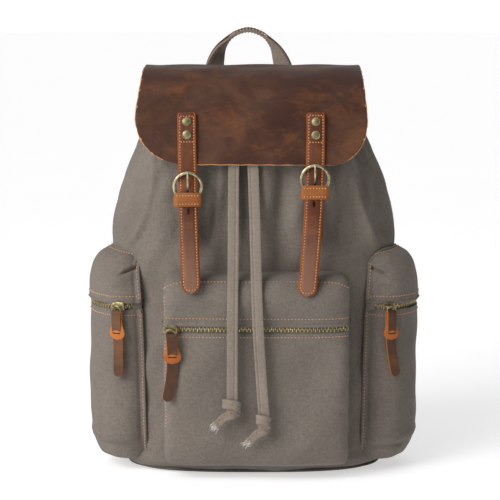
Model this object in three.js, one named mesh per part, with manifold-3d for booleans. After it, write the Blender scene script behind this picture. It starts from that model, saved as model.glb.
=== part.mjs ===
// A canvas and leather travel backpack, in millimetres.
// +X is the bag's right as seen from the front, -Y is its front, +Z is up.
// The origin is the centre of the base, on the ground.

import * as THREE from 'three';
import { mergeVertices } from 'three/addons/utils/BufferGeometryUtils.js';
import loadManifold from 'manifold-3d';

const manifold = await loadManifold();
manifold.setup();

// ---------------------------------------------------------------- driving dimensions

const GAP = 0.3;                 // left between pieces that touch
const FAR = 400;                 // past every face of the bag

const CANVAS = 2.2;              // canvas with its stiffening
const LINING = 0.8;
const LEATHER = 2.6;             // straps and tabs
const FLAP_LEATHER = 2.4;
const FOAM = 12;                 // at the middle of the back
const BOTTOM = 2.7;
const BOARD = 2;

// Main body: height, half width, depth in front of and behind the middle.
const BODY = [
  [0, 134, 66, 60], [8, 142, 74, 67], [40, 147, 78, 72], [120, 149, 78, 74],
  [200, 152, 77, 74], [262, 154, 76, 73], [290, 150, 75, 72], [320, 142, 73, 70],
  [350, 129, 70, 66], [385, 112, 63, 59], [418, 103, 56, 55],
];
const BODY_TOP = 418;
const BODY_POWER = 2.8;          // 2 would be an ellipse, more is squarer
const BODY_SIDES = 40;
const BACK_SEAM_Y = 42;          // the front panel wraps round to here
const CASING = { low: 358, high: 390, thickness: 2.3, end: 30 };
const EYELETS = [{ side: 'left', x: -20.6 }, { side: 'right', x: -2.4 }];
const EYELET_Z = 373;

const FRONT_POCKET = {
  left: -96.5, right: 102, bottom: 14, top: 224, back: -50,
  zip: 168, zipSlot: 5.3, corner: 12,
};
const SIDE_POCKET = { x: 118, y: -15, bottom: 12, top: 245, seam: 117, zip: 185.4, zipSlot: 4.7 };
const SIDE_RADIUS = 62;
const ZIP_EDGE = 0.3;            // between zip tape and canvas
const SIDE_SLIDER_TURN = 26.5;   // degrees round the pocket from its front

const FLAP = { axisY: 66, axisZ: 394 };
const TAB = { top: 398, bottom: 364.2 };
const STRAP_WIDTH = 20;
const STRAPS = [
  { side: 'left', xTop: -70.9, xTip: -67, ring: 317.7, tip: 207.5, snapX: -68, chapeEnd: 258.8 },
  { side: 'right', xTop: 65.1, xTip: 57, ring: 325.4, tip: 204.5, snapX: 65, chapeEnd: 258.8 },
];
const RING = { radius: 14.5, wire: 1.5, y: -92.5, lean: 2.1 };
const SNAP = { z: 268, plateY: -75, radius: 8 };

const CORD = { width: 11.5, thickness: 2.4, sides: 8 };
const CORD_ROUTES = {
  left: [
    [-20.6, -72.8, 370], [-20.7, -75.8, 364.5], [-20.9, -78.3, 356], [-21.1, -79.8, 346],
    [-21.4, -80.8, 332], [-21.6, -83.0, 316], [-21.7, -87.0, 298], [-21.7, -92.5, 280],
    [-21.7, -99.0, 262], [-21.8, -106.5, 244], [-21.9, -114.0, 226], [-22.1, -119.6, 209],
    [-22.3, -122.4, 192], [-22.5, -123.4, 174], [-22.6, -123.5, 150], [-22.7, -123.5, 126],
    [-22.8, -123.5, 106], [-22.8, -123.5, 91.2],
  ],
  right: [
    [-2.4, -72.8, 370], [-2.2, -75.8, 364.5], [-1.7, -78.3, 356], [-1.3, -79.8, 346],
    [-0.8, -80.8, 332], [-0.2, -83.0, 316], [0.4, -87.0, 298], [1.0, -92.5, 280],
    [1.5, -99.0, 262], [2.0, -106.5, 244], [2.5, -114.0, 226], [3.0, -119.6, 209],
    [3.6, -122.4, 192], [4.3, -123.4, 174], [5.6, -123.5, 150], [7.2, -123.5, 126],
    [8.6, -123.5, 106], [9.9, -123.5, 88], [11.0, -123.5, 74.2],
  ],
};
const KNOTS = {
  left: { centre: [-25.0, -123.5, 82.8], half: [13, 6, 7.8], tail: [-41, -123.5, 64] },
  right: { centre: [9.6, -123.5, 65.8], half: [11.5, 6, 7.8], tail: [-5.5, -123.5, 45] },
};

const HANDLE = { width: 22, canvas: 3, facing: 1.2 };
const SLIDER = { length: 13, height: 9, depth: 3.5, bar: 7, barSize: 1.8, legX: 4.6 };
const PULL = { length: 72, width: 13, thickness: 3, loopInner: 1.6, loopOuter: 2.8, loopWidth: 6.4 };

const COLOURS = {
  canvas: 0x7c7268, canvasDark: 0x5a5148, lining: 0x8b8378, board: 0x6f665c, foam: 0x9a958c,
  flap: 0x5a3e33, strap: 0x8a5230, pull: 0x7a4526, brass: 0x8f7a4c, webbing: 0x4b443d,
};

// ---------------------------------------------------------------- solids and cuts

function solid(geometry) {
  const plain = geometry.index ? geometry.toNonIndexed() : geometry.clone();
  for (const name of Object.keys(plain.attributes)) {
    if (name !== 'position') plain.deleteAttribute(name);
  }
  const merged = mergeVertices(plain, 1e-4);
  const vertProperties = new Float32Array(merged.attributes.position.array);
  const triVerts = new Uint32Array(merged.index.array);
  const make = () => new manifold.Manifold(new manifold.Mesh({ numProp: 3, vertProperties, triVerts }));
  const shape = make();
  if (shape.volume() >= 0) return shape;
  for (let i = 0; i < triVerts.length; i += 3) {
    [triVerts[i + 1], triVerts[i + 2]] = [triVerts[i + 2], triVerts[i + 1]];
  }
  return make();
}

function geometryOf(shape) {
  const mesh = shape.getMesh();
  const geometry = new THREE.BufferGeometry();
  geometry.setAttribute('position', new THREE.BufferAttribute(mesh.vertProperties, 3));
  geometry.setIndex(new THREE.BufferAttribute(mesh.triVerts, 1));
  return geometry;
}

function block(low, high) {
  const size = high.map((value, i) => value - low[i]);
  const geometry = new THREE.BoxGeometry(...size);
  geometry.translate(...high.map((value, i) => (value + low[i]) / 2));
  return solid(geometry);
}

const slab = (low, high) => block([-FAR, -FAR, low], [FAR, FAR, high]);

// An outline drawn in two axes, pulled along the third one from low to high.
function prism(outline, low, high, right, up) {
  const shape = Array.isArray(outline)
    ? new THREE.Shape(outline.map(([a, b]) => new THREE.Vector2(a, b)))
    : outline;
  const geometry = new THREE.ExtrudeGeometry(shape, {
    depth: high - low, bevelEnabled: false, curveSegments: 6,
  });
  const along = new THREE.Vector3().crossVectors(right, up);
  geometry.applyMatrix4(new THREE.Matrix4().makeBasis(right, up, along));
  const start = along.x + along.y + along.z > 0 ? low : high;
  geometry.translate(...along.clone().multiplyScalar(start * Math.sign(along.x + along.y + along.z)));
  return solid(geometry);
}

const X = new THREE.Vector3(1, 0, 0);
const Y = new THREE.Vector3(0, 1, 0);
const Z = new THREE.Vector3(0, 0, 1);
const prismX = (outline, low, high) => prism(outline, low, high, Y, Z);   // outline is (y, z)
const prismY = (outline, low, high) => prism(outline, low, high, X, Z);   // outline is (x, z)
const prismZ = (outline, low, high) => prism(outline, low, high, X, Y);   // outline is (x, y)

// The line moved sideways, to its left as it runs.
function offsetLine(line, distance) {
  return line.map((point, i) => {
    const before = line[Math.max(i - 1, 0)];
    const after = line[Math.min(i + 1, line.length - 1)];
    const [dx, dy] = [after[0] - before[0], after[1] - before[1]];
    const size = Math.hypot(dx, dy);
    return [point[0] - (dy / size) * distance, point[1] + (dx / size) * distance];
  });
}

function smoothLine(points, count) {
  const curve = new THREE.SplineCurve(points.map(([a, b]) => new THREE.Vector2(a, b)));
  return curve.getPoints(count).map((point) => [point.x, point.y]);
}

// A strip of even thickness seen edge on.
function strip(line, thickness) {
  return [...offsetLine(line, thickness / 2), ...offsetLine(line, -thickness / 2).reverse()];
}

function turned(profile, sides) {
  const points = profile.map(([radius, height]) => new THREE.Vector2(radius, height));
  const geometry = new THREE.LatheGeometry(points, sides);
  geometry.rotateX(Math.PI / 2);
  return solid(geometry);
}

// A round rod between two places, with its own radius at each end.
function rod(from, to, sides, radiusFrom, radiusTo = radiusFrom) {
  const [a, b] = [new THREE.Vector3(...from), new THREE.Vector3(...to)];
  const geometry = new THREE.CylinderGeometry(radiusTo, radiusFrom, a.distanceTo(b), sides);
  const direction = b.clone().sub(a).normalize();
  geometry.applyQuaternion(new THREE.Quaternion().setFromUnitVectors(Y, direction));
  geometry.translate(...a.add(b).multiplyScalar(0.5));
  return solid(geometry);
}

// A flat strap along a curve in space; flat(t) is the direction of its width there.
function spaceStrap(points, flat, width, thickness, steps, lift = 0, widthSteps = 1) {
  const curve = new THREE.CatmullRomCurve3(points.map((point) => new THREE.Vector3(...point)));
  const geometry = new THREE.BoxGeometry(width, thickness, 1, widthSteps, 1, steps);
  const position = geometry.attributes.position;
  for (let i = 0; i < position.count; i += 1) {
    const t = position.getZ(i) + 0.5;
    const along = curve.getTangentAt(t);
    const across = flat(t).addScaledVector(along, -flat(t).dot(along)).normalize();
    const out = new THREE.Vector3().crossVectors(along, across);
    const place = curve.getPointAt(t);
    place.addScaledVector(across, position.getX(i));
    place.addScaledVector(out, position.getY(i) + lift);
    position.setXYZ(i, place.x, place.y, place.z);
  }
  return solid(geometry);
}

// ---------------------------------------------------------------- the object

const backpack = new THREE.Group();

function finish(kind) {
  const metal = kind === 'brass';
  return new THREE.MeshStandardMaterial({
    color: COLOURS[kind], roughness: metal ? 0.4 : 0.85, metalness: metal ? 1 : 0,
  });
}

function add(name, shape, kind, parent = backpack) {
  const mesh = new THREE.Mesh(geometryOf(shape), finish(kind));
  mesh.name = name;
  parent.add(mesh);
  return mesh;
}

// ---------------------------------------------------------------- main body

function bodySize(height) {
  const last = BODY.length - 1;
  if (height <= BODY[0][0]) return BODY[0].slice(1);
  if (height >= BODY[last][0]) return BODY[last].slice(1);
  const above = BODY.findIndex((level) => level[0] >= height);
  const [low, high] = [BODY[above - 1], BODY[above]];
  const t = (height - low[0]) / (high[0] - low[0]);
  return [1, 2, 3].map((i) => low[i] + (high[i] - low[i]) * t);
}

// The body's outline, grown by an offset, as a solid between two heights.
function bodySolid(offset, low, high) {
  const heights = [low, ...BODY.map((level) => level[0]).filter((z) => z > low && z < high), high];
  const rings = heights.length - 1;
  const geometry = new THREE.CylinderGeometry(1, 1, rings, BODY_SIDES, rings);
  geometry.rotateX(Math.PI / 2);
  const position = geometry.attributes.position;
  for (let i = 0; i < position.count; i += 1) {
    const z = heights[Math.round(position.getZ(i) + rings / 2)];
    const [halfWidth, front, back] = bodySize(z);
    const [cx, cy] = [position.getX(i), position.getY(i)];
    const depth = cy < 0 ? front : back;
    const squared = (value) => Math.sign(value) * Math.abs(value) ** (2 / BODY_POWER);
    const clean = (value) => (Math.abs(value) < 1e-6 ? 0 : value);
    position.setXYZ(i, squared(clean(cx)) * (halfWidth + offset), squared(clean(cy)) * (depth + offset), z);
  }
  return solid(geometry);
}

// The body's front surface at a place on it.
function bodyFront(x, z) {
  const [halfWidth, front] = bodySize(z);
  return -front * (1 - (Math.abs(x) / halfWidth) ** BODY_POWER) ** (1 / BODY_POWER);
}

function bodySkin(inner, outer, low, high) {
  return bodySolid(outer, low, high).subtract(bodySolid(inner, low - 20, high + 20));
}

const aroundBody = bodySolid(GAP, -20, BODY_TOP + 20);

const canvasShell = bodySkin(-CANVAS, 0, BOTTOM + GAP, BODY_TOP);
const wrap = block([-FAR, -FAR, -1], [FAR, BACK_SEAM_Y, FAR + 100]);
const rear = block([-FAR, BACK_SEAM_Y + GAP, -1], [FAR, FAR, FAR + 100]);
add('front_panel', canvasShell.intersect(wrap), 'canvas');
add('back_panel', canvasShell.intersect(rear), 'canvas');
add('bottom_panel', bodySolid(0, 0, BOTTOM), 'canvas');

const boardTop = BOTTOM + GAP + BOARD;
add('base_board', bodySolid(-CANVAS - 3, BOTTOM + GAP, boardTop), 'board');

// The back foam follows the back panel; the lining steps round it.
function foamBlock(grow) {
  const heights = [24, 120, 262, 320, 350, 378];
  const inside = heights.map((z, i) => {
    const [, , back] = bodySize(z);
    const end = i === 0 ? -grow : i === heights.length - 1 ? grow : 0;
    return [back - CANVAS - GAP - FOAM - grow, z + end];
  });
  const top = inside[inside.length - 1][1];
  return prismX([...inside, [FAR, top], [FAR, inside[0][1]]], -92 - grow, 92 + grow);
}

add('back_foam', bodySolid(-CANVAS - GAP, boardTop + 8, 400).intersect(foamBlock(0)), 'foam');

const liningOuter = bodySolid(-CANVAS - 0.4, boardTop + GAP, BODY_TOP - 3).subtract(foamBlock(GAP));
const liningInner = bodySolid(-CANVAS - 0.4 - LINING, boardTop + GAP + LINING, BODY_TOP + 20)
  .subtract(foamBlock(GAP + LINING));
add('lining', liningOuter.subtract(liningInner), 'lining');

// ---------------------------------------------------------------- drawstring casing and cords

let casing = bodySkin(GAP, GAP + CASING.thickness, CASING.low, CASING.high)
  .intersect(block([-FAR, -FAR, 0], [FAR, CASING.end, FAR + 100]));

const eyeletProfile = [[3.2, -2], [4, -2], [4, 0], [6, 0], [6, 0.9], [3.2, 1.2], [3.2, -2]];
for (const { side, x } of EYELETS) {
  const face = bodyFront(x, EYELET_Z - 6) - GAP - CASING.thickness - GAP;
  const hole = turned([[0, -8], [4.4, -8], [4.4, 8], [0, 8]], 12).rotate([90, 0, 0]);
  casing = casing.subtract(hole.translate([x, face, EYELET_Z]));
  add(`eyelet_${side}`, turned(eyeletProfile, 12).rotate([90, 0, 0]).translate([x, face, EYELET_Z]), 'brass');
}
add('drawstring_casing', casing, 'canvas');

function flatSection(width, thickness, sides) {
  const points = [];
  for (let i = 0; i < sides; i += 1) {
    const angle = ((i + 0.5) / sides) * 2 * Math.PI;
    const squared = (value) => Math.sign(value) * Math.abs(value) ** 0.5;
    points.push(new THREE.Vector2(
      (squared(Math.cos(angle)) * width) / 2 / Math.cos(Math.PI / sides) ** 0.5,
      (squared(Math.sin(angle)) * thickness) / 2 / Math.cos(Math.PI / sides) ** 0.5,
    ));
  }
  return new THREE.Shape(points);
}

for (const side of ['left', 'right']) {
  const points = CORD_ROUTES[side].map((point) => new THREE.Vector3(...point));
  const geometry = new THREE.ExtrudeGeometry(flatSection(CORD.width, CORD.thickness, CORD.sides), {
    steps: 22, extrudePath: new THREE.CatmullRomCurve3(points), bevelEnabled: false,
  });
  add(`drawstring_${side}`, solid(geometry), 'canvas');

  const { centre, half, tail } = KNOTS[side];
  const lump = new THREE.SphereGeometry(1, 12, 8);
  lump.rotateX(Math.PI / 2);
  lump.scale(...half);
  lump.translate(...centre);
  const end = rod(centre, tail, 8, 4, 5.5);
  add(`knot_${side}`, solid(lump).add(end), 'canvas');
}

// ---------------------------------------------------------------- front pocket

// The pocket's outside, or its inside when it is drawn smaller by an inset.
function frontPocketSolid(inset) {
  const { left, right, bottom, top, back, corner } = FRONT_POCKET;
  const side = [
    [-92, 14], [-104, 20], [-110, 34], [-112, 60], [-112, 150], [-111.5, 162], [-111.5, 174],
    [-114, 184], [-117, 194], [-117, 203], [-112, 213], [-100, 220.5], [-84, 223.5], [back, top],
  ].map(([y, z]) => {
    const highest = top - inset - (y > -113 ? 0 : inset / 2);
    return [y + inset, Math.min(Math.max(z, bottom + inset), highest)];
  });
  const profile = prismX([[back, bottom + inset], ...side], -FAR, FAR);
  const [l, r, s] = [left + inset, right - inset, inset];
  const plan = prismZ([
    [l, back], [l, -95 + s], [l + 4, -105 + s], [l + 12, -112 + s], [l + 26, -118 + s],
    [r - 26, -118 + s], [r - 12, -112 + s], [r - 4, -105 + s], [r, -95 + s], [r, back],
  ], 0, 300);
  const face = new THREE.Shape();
  const [b, t] = [bottom - 1 + inset, top + 1 - inset];
  face.moveTo(l + 6, b);
  face.lineTo(r - 6, b);
  face.quadraticCurveTo(r, b, r, b + 8);
  face.lineTo(r, t - corner);
  face.quadraticCurveTo(r, t, r - corner, t);
  face.lineTo(l + corner, t);
  face.quadraticCurveTo(l, t, l, t - corner);
  face.lineTo(l, b + 8);
  face.quadraticCurveTo(l, b, l + 6, b);
  return profile.intersect(plan).intersect(prismY(face, -FAR, 0));
}

// A pocket's shell cut by its zip into the part above, the zip and the part below.
function addPocket(name, zipName, shell, { zip, zipSlot }) {
  add(`${name}_upper`, shell.intersect(slab(zip + zipSlot, FAR)), 'canvas');
  add(zipName, shell.intersect(slab(zip - zipSlot + ZIP_EDGE, zip + zipSlot - ZIP_EDGE)), 'brass');
  add(`${name}_lower`, shell.intersect(slab(-FAR, zip - zipSlot)), 'canvas');
}

const frontShell = frontPocketSolid(0).subtract(frontPocketSolid(CANVAS)).subtract(aroundBody);
addPocket('front_pocket', 'front_zip_chain', frontShell, FRONT_POCKET);

// ---------------------------------------------------------------- side pockets

const SIDE_PROFILE = [
  [0, 12], [44, 12], [54, 18], [60, 36], [62, 70], [62, 205], [60.5, 218], [57, 231],
  [50, 240], [38, 244], [0, 245],
];

function sidePocketSolid(inset) {
  const { x, y, bottom, top, seam } = SIDE_POCKET;
  const squeeze = (top - bottom - 2 * inset) / (top - bottom);
  const profile = SIDE_PROFILE.map(([radius, z]) => [
    Math.max(radius - inset, 0), bottom + inset + (z - bottom) * squeeze,
  ]);
  return turned(profile, 44).translate([-x, y, 0])
    .intersect(block([-FAR, -FAR, -1], [-seam - inset, FAR, FAR]));
}

const leftShell = sidePocketSolid(0).subtract(sidePocketSolid(CANVAS)).subtract(aroundBody)
  .intersect(block([-FAR, -FAR, -1], [0, BACK_SEAM_Y + 20, FAR]));
addPocket('left_pocket', 'left_zip_chain', leftShell, SIDE_POCKET);
addPocket('right_pocket', 'right_zip_chain', leftShell.mirror([1, 0, 0]), SIDE_POCKET);

// ---------------------------------------------------------------- sliders and pulls

// In the slider's own axes: X along the zip, -Y away from the bag, origin on the zip.
function sliderSolid() {
  const { length, height, depth, bar, barSize, legX } = SLIDER;
  const [l, h] = [length / 2, height / 2];
  const plate = prismY([
    [-l, -h * 0.55], [-l * 0.3, -h], [l * 0.7, -h], [l, -h * 0.6],
    [l, h * 0.6], [l * 0.7, h], [-l * 0.3, h], [-l, h * 0.55],
  ], -depth - GAP, -GAP);
  const reach = bar + barSize / 2;
  const rail = block([-legX - 0.8, -reach, -barSize / 2], [legX + 0.8, -bar + barSize / 2, barSize / 2]);
  const leg = (x) => block([x - 0.8, -reach, -barSize / 2], [x + 0.8, -depth, barSize / 2]);
  return plate.add(rail).add(leg(-legX)).add(leg(legX));
}

// The pull's loop goes round the slider's bar, and its tab hangs below.
function pullSolid() {
  const { length, width, thickness, loopInner, loopOuter, loopWidth } = PULL;
  const loop = turned([
    [loopInner, -loopWidth / 2], [loopOuter, -loopWidth / 2],
    [loopOuter, loopWidth / 2], [loopInner, loopWidth / 2], [loopInner, -loopWidth / 2],
  ], 12).rotate([0, 90, 0]);
  const w = width / 2;
  const tab = new THREE.Shape();
  tab.moveTo(-3.2, -2.2);
  tab.lineTo(3.2, -2.2);
  tab.quadraticCurveTo(w, -6, w, -14);
  tab.lineTo(w, -length + 7);
  tab.quadraticCurveTo(w, -length, 0, -length);
  tab.quadraticCurveTo(-w, -length, -w, -length + 7);
  tab.lineTo(-w, -14);
  tab.quadraticCurveTo(-w, -6, -3.2, -2.2);
  const hitch = prismX([[-2.4, -17], [2.6, -19], [2.8, -30], [-2.4, -32]], -w - 2.2, w + 2.2);
  return loop.add(prismY(tab, -thickness / 2, thickness / 2)).add(hitch);
}

const slider = sliderSolid();
const pull = pullSolid().translate([0, -SLIDER.bar, 0]);

function addSlider(side, x, y, z, turn) {
  const place = new THREE.Group();
  place.position.set(x, y, z);
  place.rotation.z = THREE.MathUtils.degToRad(turn);
  backpack.add(place);
  add(`${side}_slider`, slider, 'brass', place);
  add(`${side}_pull`, pull, 'pull', place);
}

function sideZipPoint(sign, turn) {
  const angle = THREE.MathUtils.degToRad(turn);
  return [
    sign * (SIDE_POCKET.x + SIDE_RADIUS * Math.sin(angle)),
    SIDE_POCKET.y - SIDE_RADIUS * Math.cos(angle),
  ];
}

addSlider('front', -88, -111.5, FRONT_POCKET.zip, 0);
addSlider('left', ...sideZipPoint(-1, SIDE_SLIDER_TURN), SIDE_POCKET.zip, -SIDE_SLIDER_TURN);
addSlider('right', ...sideZipPoint(1, SIDE_SLIDER_TURN), SIDE_POCKET.zip, SIDE_SLIDER_TURN);

// ---------------------------------------------------------------- flap

const flapLine = smoothLine([
  [66, 392], [66, 404], [63.5, 419], [53, 432], [28, 437.6], [-8, 438.2], [-40, 434.5],
  [-60, 425], [-72, 408], [-79, 388], [-83, 365], [-85.8, 339.2],
], 33);

const flapFace = new THREE.Shape();
flapFace.moveTo(-121, 425);
flapFace.lineTo(-118, 450);
flapFace.lineTo(114, 450);
flapFace.lineTo(118, 425);
flapFace.lineTo(123, 392);
flapFace.bezierCurveTo(124, 362, 112, 341, 72, 338);
flapFace.lineTo(-72, 341);
flapFace.bezierCurveTo(-108, 343, -126, 362, -126, 392);
flapFace.closePath();

const flapSheet = prismX(strip(flapLine, FLAP_LEATHER), -FAR, FAR);
add('flap', flapSheet.intersect(prismY(flapFace, -FAR, FAR)), 'flap');

// ---------------------------------------------------------------- closure straps

// The line that a strap lies on, over the front of the flap.
const onFlap = offsetLine(flapLine, -(FLAP_LEATHER + LEATHER) / 2 - GAP)
  .filter(([y, z]) => y < -60 && z < TAB.top + 12);

function strapMiddle({ xTop, xTip, tip }, z) {
  return xTop + ((xTip - xTop) * (TAB.top - z)) / (TAB.top - tip);
}

// The strap's outline from the front, between two heights; a round end makes the tip.
function strapFace(strap, low, high, roundEnd) {
  const half = STRAP_WIDTH / 2;
  const face = new THREE.Shape();
  const [xHigh, xLow] = [strapMiddle(strap, high), strapMiddle(strap, low)];
  face.moveTo(xHigh - half, high);
  if (roundEnd) {
    face.lineTo(xLow - half, low + 12);
    face.quadraticCurveTo(xLow - half, low + 1, xLow, low);
    face.quadraticCurveTo(xLow + half, low + 1, xLow + half, low + 12);
  } else {
    face.lineTo(xLow - half, low);
    face.lineTo(xLow + half, low);
  }
  face.lineTo(xHigh + half, high);
  face.closePath();
  return face;
}

const tabSheet = prismX(strip(onFlap, LEATHER), -FAR, FAR);
const rivetProfile = [[0, 0], [5, 0], [5, 0.8], [3.8, 1.9], [0, 2.3]];
const socketProfile = [[0, -2.7], [8, -2.7], [8, -0.6], [7, 0], [4.8, 0], [4.8, -1.6], [0, -1.6]];
const studProfile = [[0, 0], [6, 0], [6, 1.4], [2.4, 1.4], [2.4, 2.5], [0, 2.5]];

function addStrap(strap) {
  const { side, ring, tip, snapX, chapeEnd } = strap;
  const tab = tabSheet.intersect(prismY(strapFace(strap, TAB.bottom, TAB.top, false), -FAR, -50));
  add(`strap_tab_${side}`, tab, 'strap');
  for (const [name, z] of [['upper', 387.4], ['lower', 373.7]]) {
    const near = onFlap.reduce((best, point) => (
      Math.abs(point[1] - z) < Math.abs(best[1] - z) ? point : best));
    const next = onFlap[onFlap.indexOf(near) - 1];
    const slope = Math.atan2(next[0] - near[0], next[1] - near[1]);
    const y = near[0] + (z - near[1]) * Math.tan(slope) - (LEATHER / 2 + 0.8) / Math.cos(slope);
    const rivet = turned(rivetProfile, 14).rotate([90 - THREE.MathUtils.radToDeg(slope), 0, 0]);
    add(`rivet_${name}_${side}`, rivet.translate([strapMiddle(strap, z), y, z]), 'brass');
  }

  const hangLine = [
    ...onFlap.filter(([, z]) => z < TAB.bottom + 12 && z > 343), [-90.1, ring + 9.5],
    [-95.2, ring - 8.5], [-97, ring - 15], [-104.5, 270], [-112.5, 242], [-118.4, 222], [-121.9, 200],
  ];
  const hanging = prismX(strip(hangLine, LEATHER), -FAR, FAR)
    .intersect(prismY(strapFace(strap, tip, TAB.bottom - GAP, true), -FAR, -50));
  const middle = strapMiddle(strap, ring);
  const slot = block([middle - 1.7, -FAR, ring - 12], [middle + 1.7, -50, ring + 4.5]);
  const spare = block([middle - 1.5, -FAR, ring - 28], [middle + 1.5, -50, ring - 22.5]);
  add(`flap_strap_${side}`, hanging.subtract(slot).subtract(spare), 'strap');

  const circle = new THREE.TorusGeometry(RING.radius, RING.wire, 8, 24);
  const lean = THREE.MathUtils.radToDeg(Math.asin(RING.lean / RING.radius));
  const hoop = solid(circle).rotate([90 + lean, 0, 0]).translate([middle, RING.y, ring]);
  add(`buckle_ring_${side}`, hoop, 'brass');
  const rimY = RING.y + RING.lean;
  add(`prong_${side}`, rod(
    [middle, rimY - 0.5, ring - 12.6], [middle, RING.y - RING.lean - 3.2, ring + 15.5], 8, 1.1,
  ), 'brass');

  const [x0, x1] = [middle - 14.8, middle + 14.8];
  const keeper = block([x0, -101.6, ring - 20.5], [x1, -86.4, ring - 16.4])
    .add(block([x0, -101.6, ring - 20.5], [x1, -100, ring - 5.7]))
    .subtract(block([x0 + 1.6, -100, ring - 40], [x1 - 1.6, -88, ring + 20]));
  add(`keeper_${side}`, keeper, 'strap');

  const chapeLine = smoothLine([
    [-91.5, ring - 16.4], [-88, 292], [-83.5, 277], [-82.3, 268], [-82.3, 250],
  ], 10);
  const chape = prismX(strip(chapeLine, 2.2), snapX - 9, snapX + 9)
    .intersect(slab(chapeEnd, ring - 16.6));
  add(`chape_${side}`, chape, 'strap');
  add(`snap_socket_${side}`, turned(socketProfile, 16).rotate([90, 0, 0])
    .translate([snapX, SNAP.plateY - 2.7, SNAP.z]), 'brass');
  add(`snap_stud_${side}`, turned(studProfile, 16).rotate([-90, 0, 0])
    .translate([snapX, SNAP.plateY - 2.7 - 0.3 - 1.4, SNAP.z]), 'brass');
}

STRAPS.forEach(addStrap);

// ---------------------------------------------------------------- handle

const handlePoints = [
  [-46, 70.6, 394.5], [-46, 70.6, 408], [-45.5, 71.6, 424], [-42.5, 75, 442], [-34, 78.5, 460],
  [-20, 79, 472], [-6, 79, 475.7], [8, 79, 471.5], [21, 78.5, 460], [30, 75, 443],
  [35, 71.6, 425], [36.5, 70.6, 408], [36.5, 70.6, 394.5],
];

// The ends lie flat against the bag, and the strap turns half a turn from one end to the other.
function handleFlat(t) {
  const fromEnd = Math.min(t, 1 - t) * 2;
  const quarter = THREE.MathUtils.smoothstep(fromEnd, 0.08, 0.9) * (Math.PI / 2);
  const turn = t < 0.5 ? quarter : Math.PI - quarter;
  return new THREE.Vector3(Math.cos(turn), Math.sin(turn), 0);
}

// The canvas and its leather facing lie back to back, the leather on the outside of the arch.
function handleLayer(thickness, lift) {
  return spaceStrap(handlePoints, handleFlat, HANDLE.width, thickness, 28, lift, 3);
}

add('handle_strap', handleLayer(HANDLE.canvas, -1.1), 'canvasDark');
add('handle_facing', handleLayer(HANDLE.facing, 1.9).intersect(slab(424, FAR + 100)), 'strap');

// ---------------------------------------------------------------- back and shoulder straps

const yoke = block([-62, 0, 352], [62, FAR, 390]);
add('yoke_patch', bodySkin(GAP, 3, 340, 400).intersect(yoke), 'flap');

const SHOULDER = {
  width: 56, thickness: 9,
  points: [
    [31, 73.5, 350], [33, 80.5, 325], [38, 90, 290], [45, 97, 245], [54, 99.5, 200],
    [65, 96.5, 160], [74, 92, 132],
  ],
};
const WEBBING = { width: 22, thickness: 1.8, top: [75.5, 91.5, 126.4], bottom: [112, 67.2, 34] };

for (const [side, sign] of [['left', -1], ['right', 1]]) {
  const mirrored = (points) => points.map(([x, y, z]) => [x * sign, y, z]);
  add(`shoulder_strap_${side}`, spaceStrap(
    mirrored(SHOULDER.points), () => X.clone(), SHOULDER.width, SHOULDER.thickness, 14,
  ), 'canvas');
  const ends = mirrored([WEBBING.top, WEBBING.bottom]);
  add(`webbing_${side}`, spaceStrap(ends, () => X.clone(), WEBBING.width, WEBBING.thickness, 2), 'webbing');

  const corner = new THREE.Shape();
  corner.moveTo(sign * 98, 9);
  corner.lineTo(sign * 127, 9);
  corner.lineTo(sign * 126, 50);
  corner.lineTo(sign * 104, 50);
  corner.closePath();
  add(`strap_anchor_${side}`, bodySkin(GAP, 3, 0, 60).intersect(prismY(corner, 20, FAR)), 'flap');

  // A ladder lock on the outside of the webbing, just below the padded strap.
  const [top, bottom] = ends.map((point) => new THREE.Vector3(...point));
  const along = bottom.clone().sub(top).normalize();
  const across = X.clone().addScaledVector(along, -X.dot(along)).normalize();
  const out = new THREE.Vector3().crossVectors(along, across);
  if (out.y < 0) out.negate();
  const frame = new THREE.Shape([[-17, -12], [17, -12], [17, 12], [-17, 12]]
    .map(([a, b]) => new THREE.Vector2(a, b)));
  for (const y of [-8.5, 2]) {
    frame.holes.push(new THREE.Path([[-13.5, y], [13.5, y], [13.5, y + 6.5], [-13.5, y + 6.5]]
      .map(([a, b]) => new THREE.Vector2(a, b))));
  }
  const plate = new THREE.ExtrudeGeometry(frame, { depth: 2.6, bevelEnabled: false });
  plate.applyMatrix4(new THREE.Matrix4().makeBasis(across, along, out));
  const place = top.clone().addScaledVector(along, 15).addScaledVector(out, WEBBING.thickness / 2 + GAP);
  plate.translate(place.x, place.y, place.z);
  add(`adjuster_${side}`, solid(plate), 'brass');
}

export default backpack;
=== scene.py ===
"""Travel backpack in grey-brown canvas with a dark leather flap: its looks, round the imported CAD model.

Everything is in metres, in the CAD's frame: +X is the viewer's right, -Y the front, +Z up.
"""
import math

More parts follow.
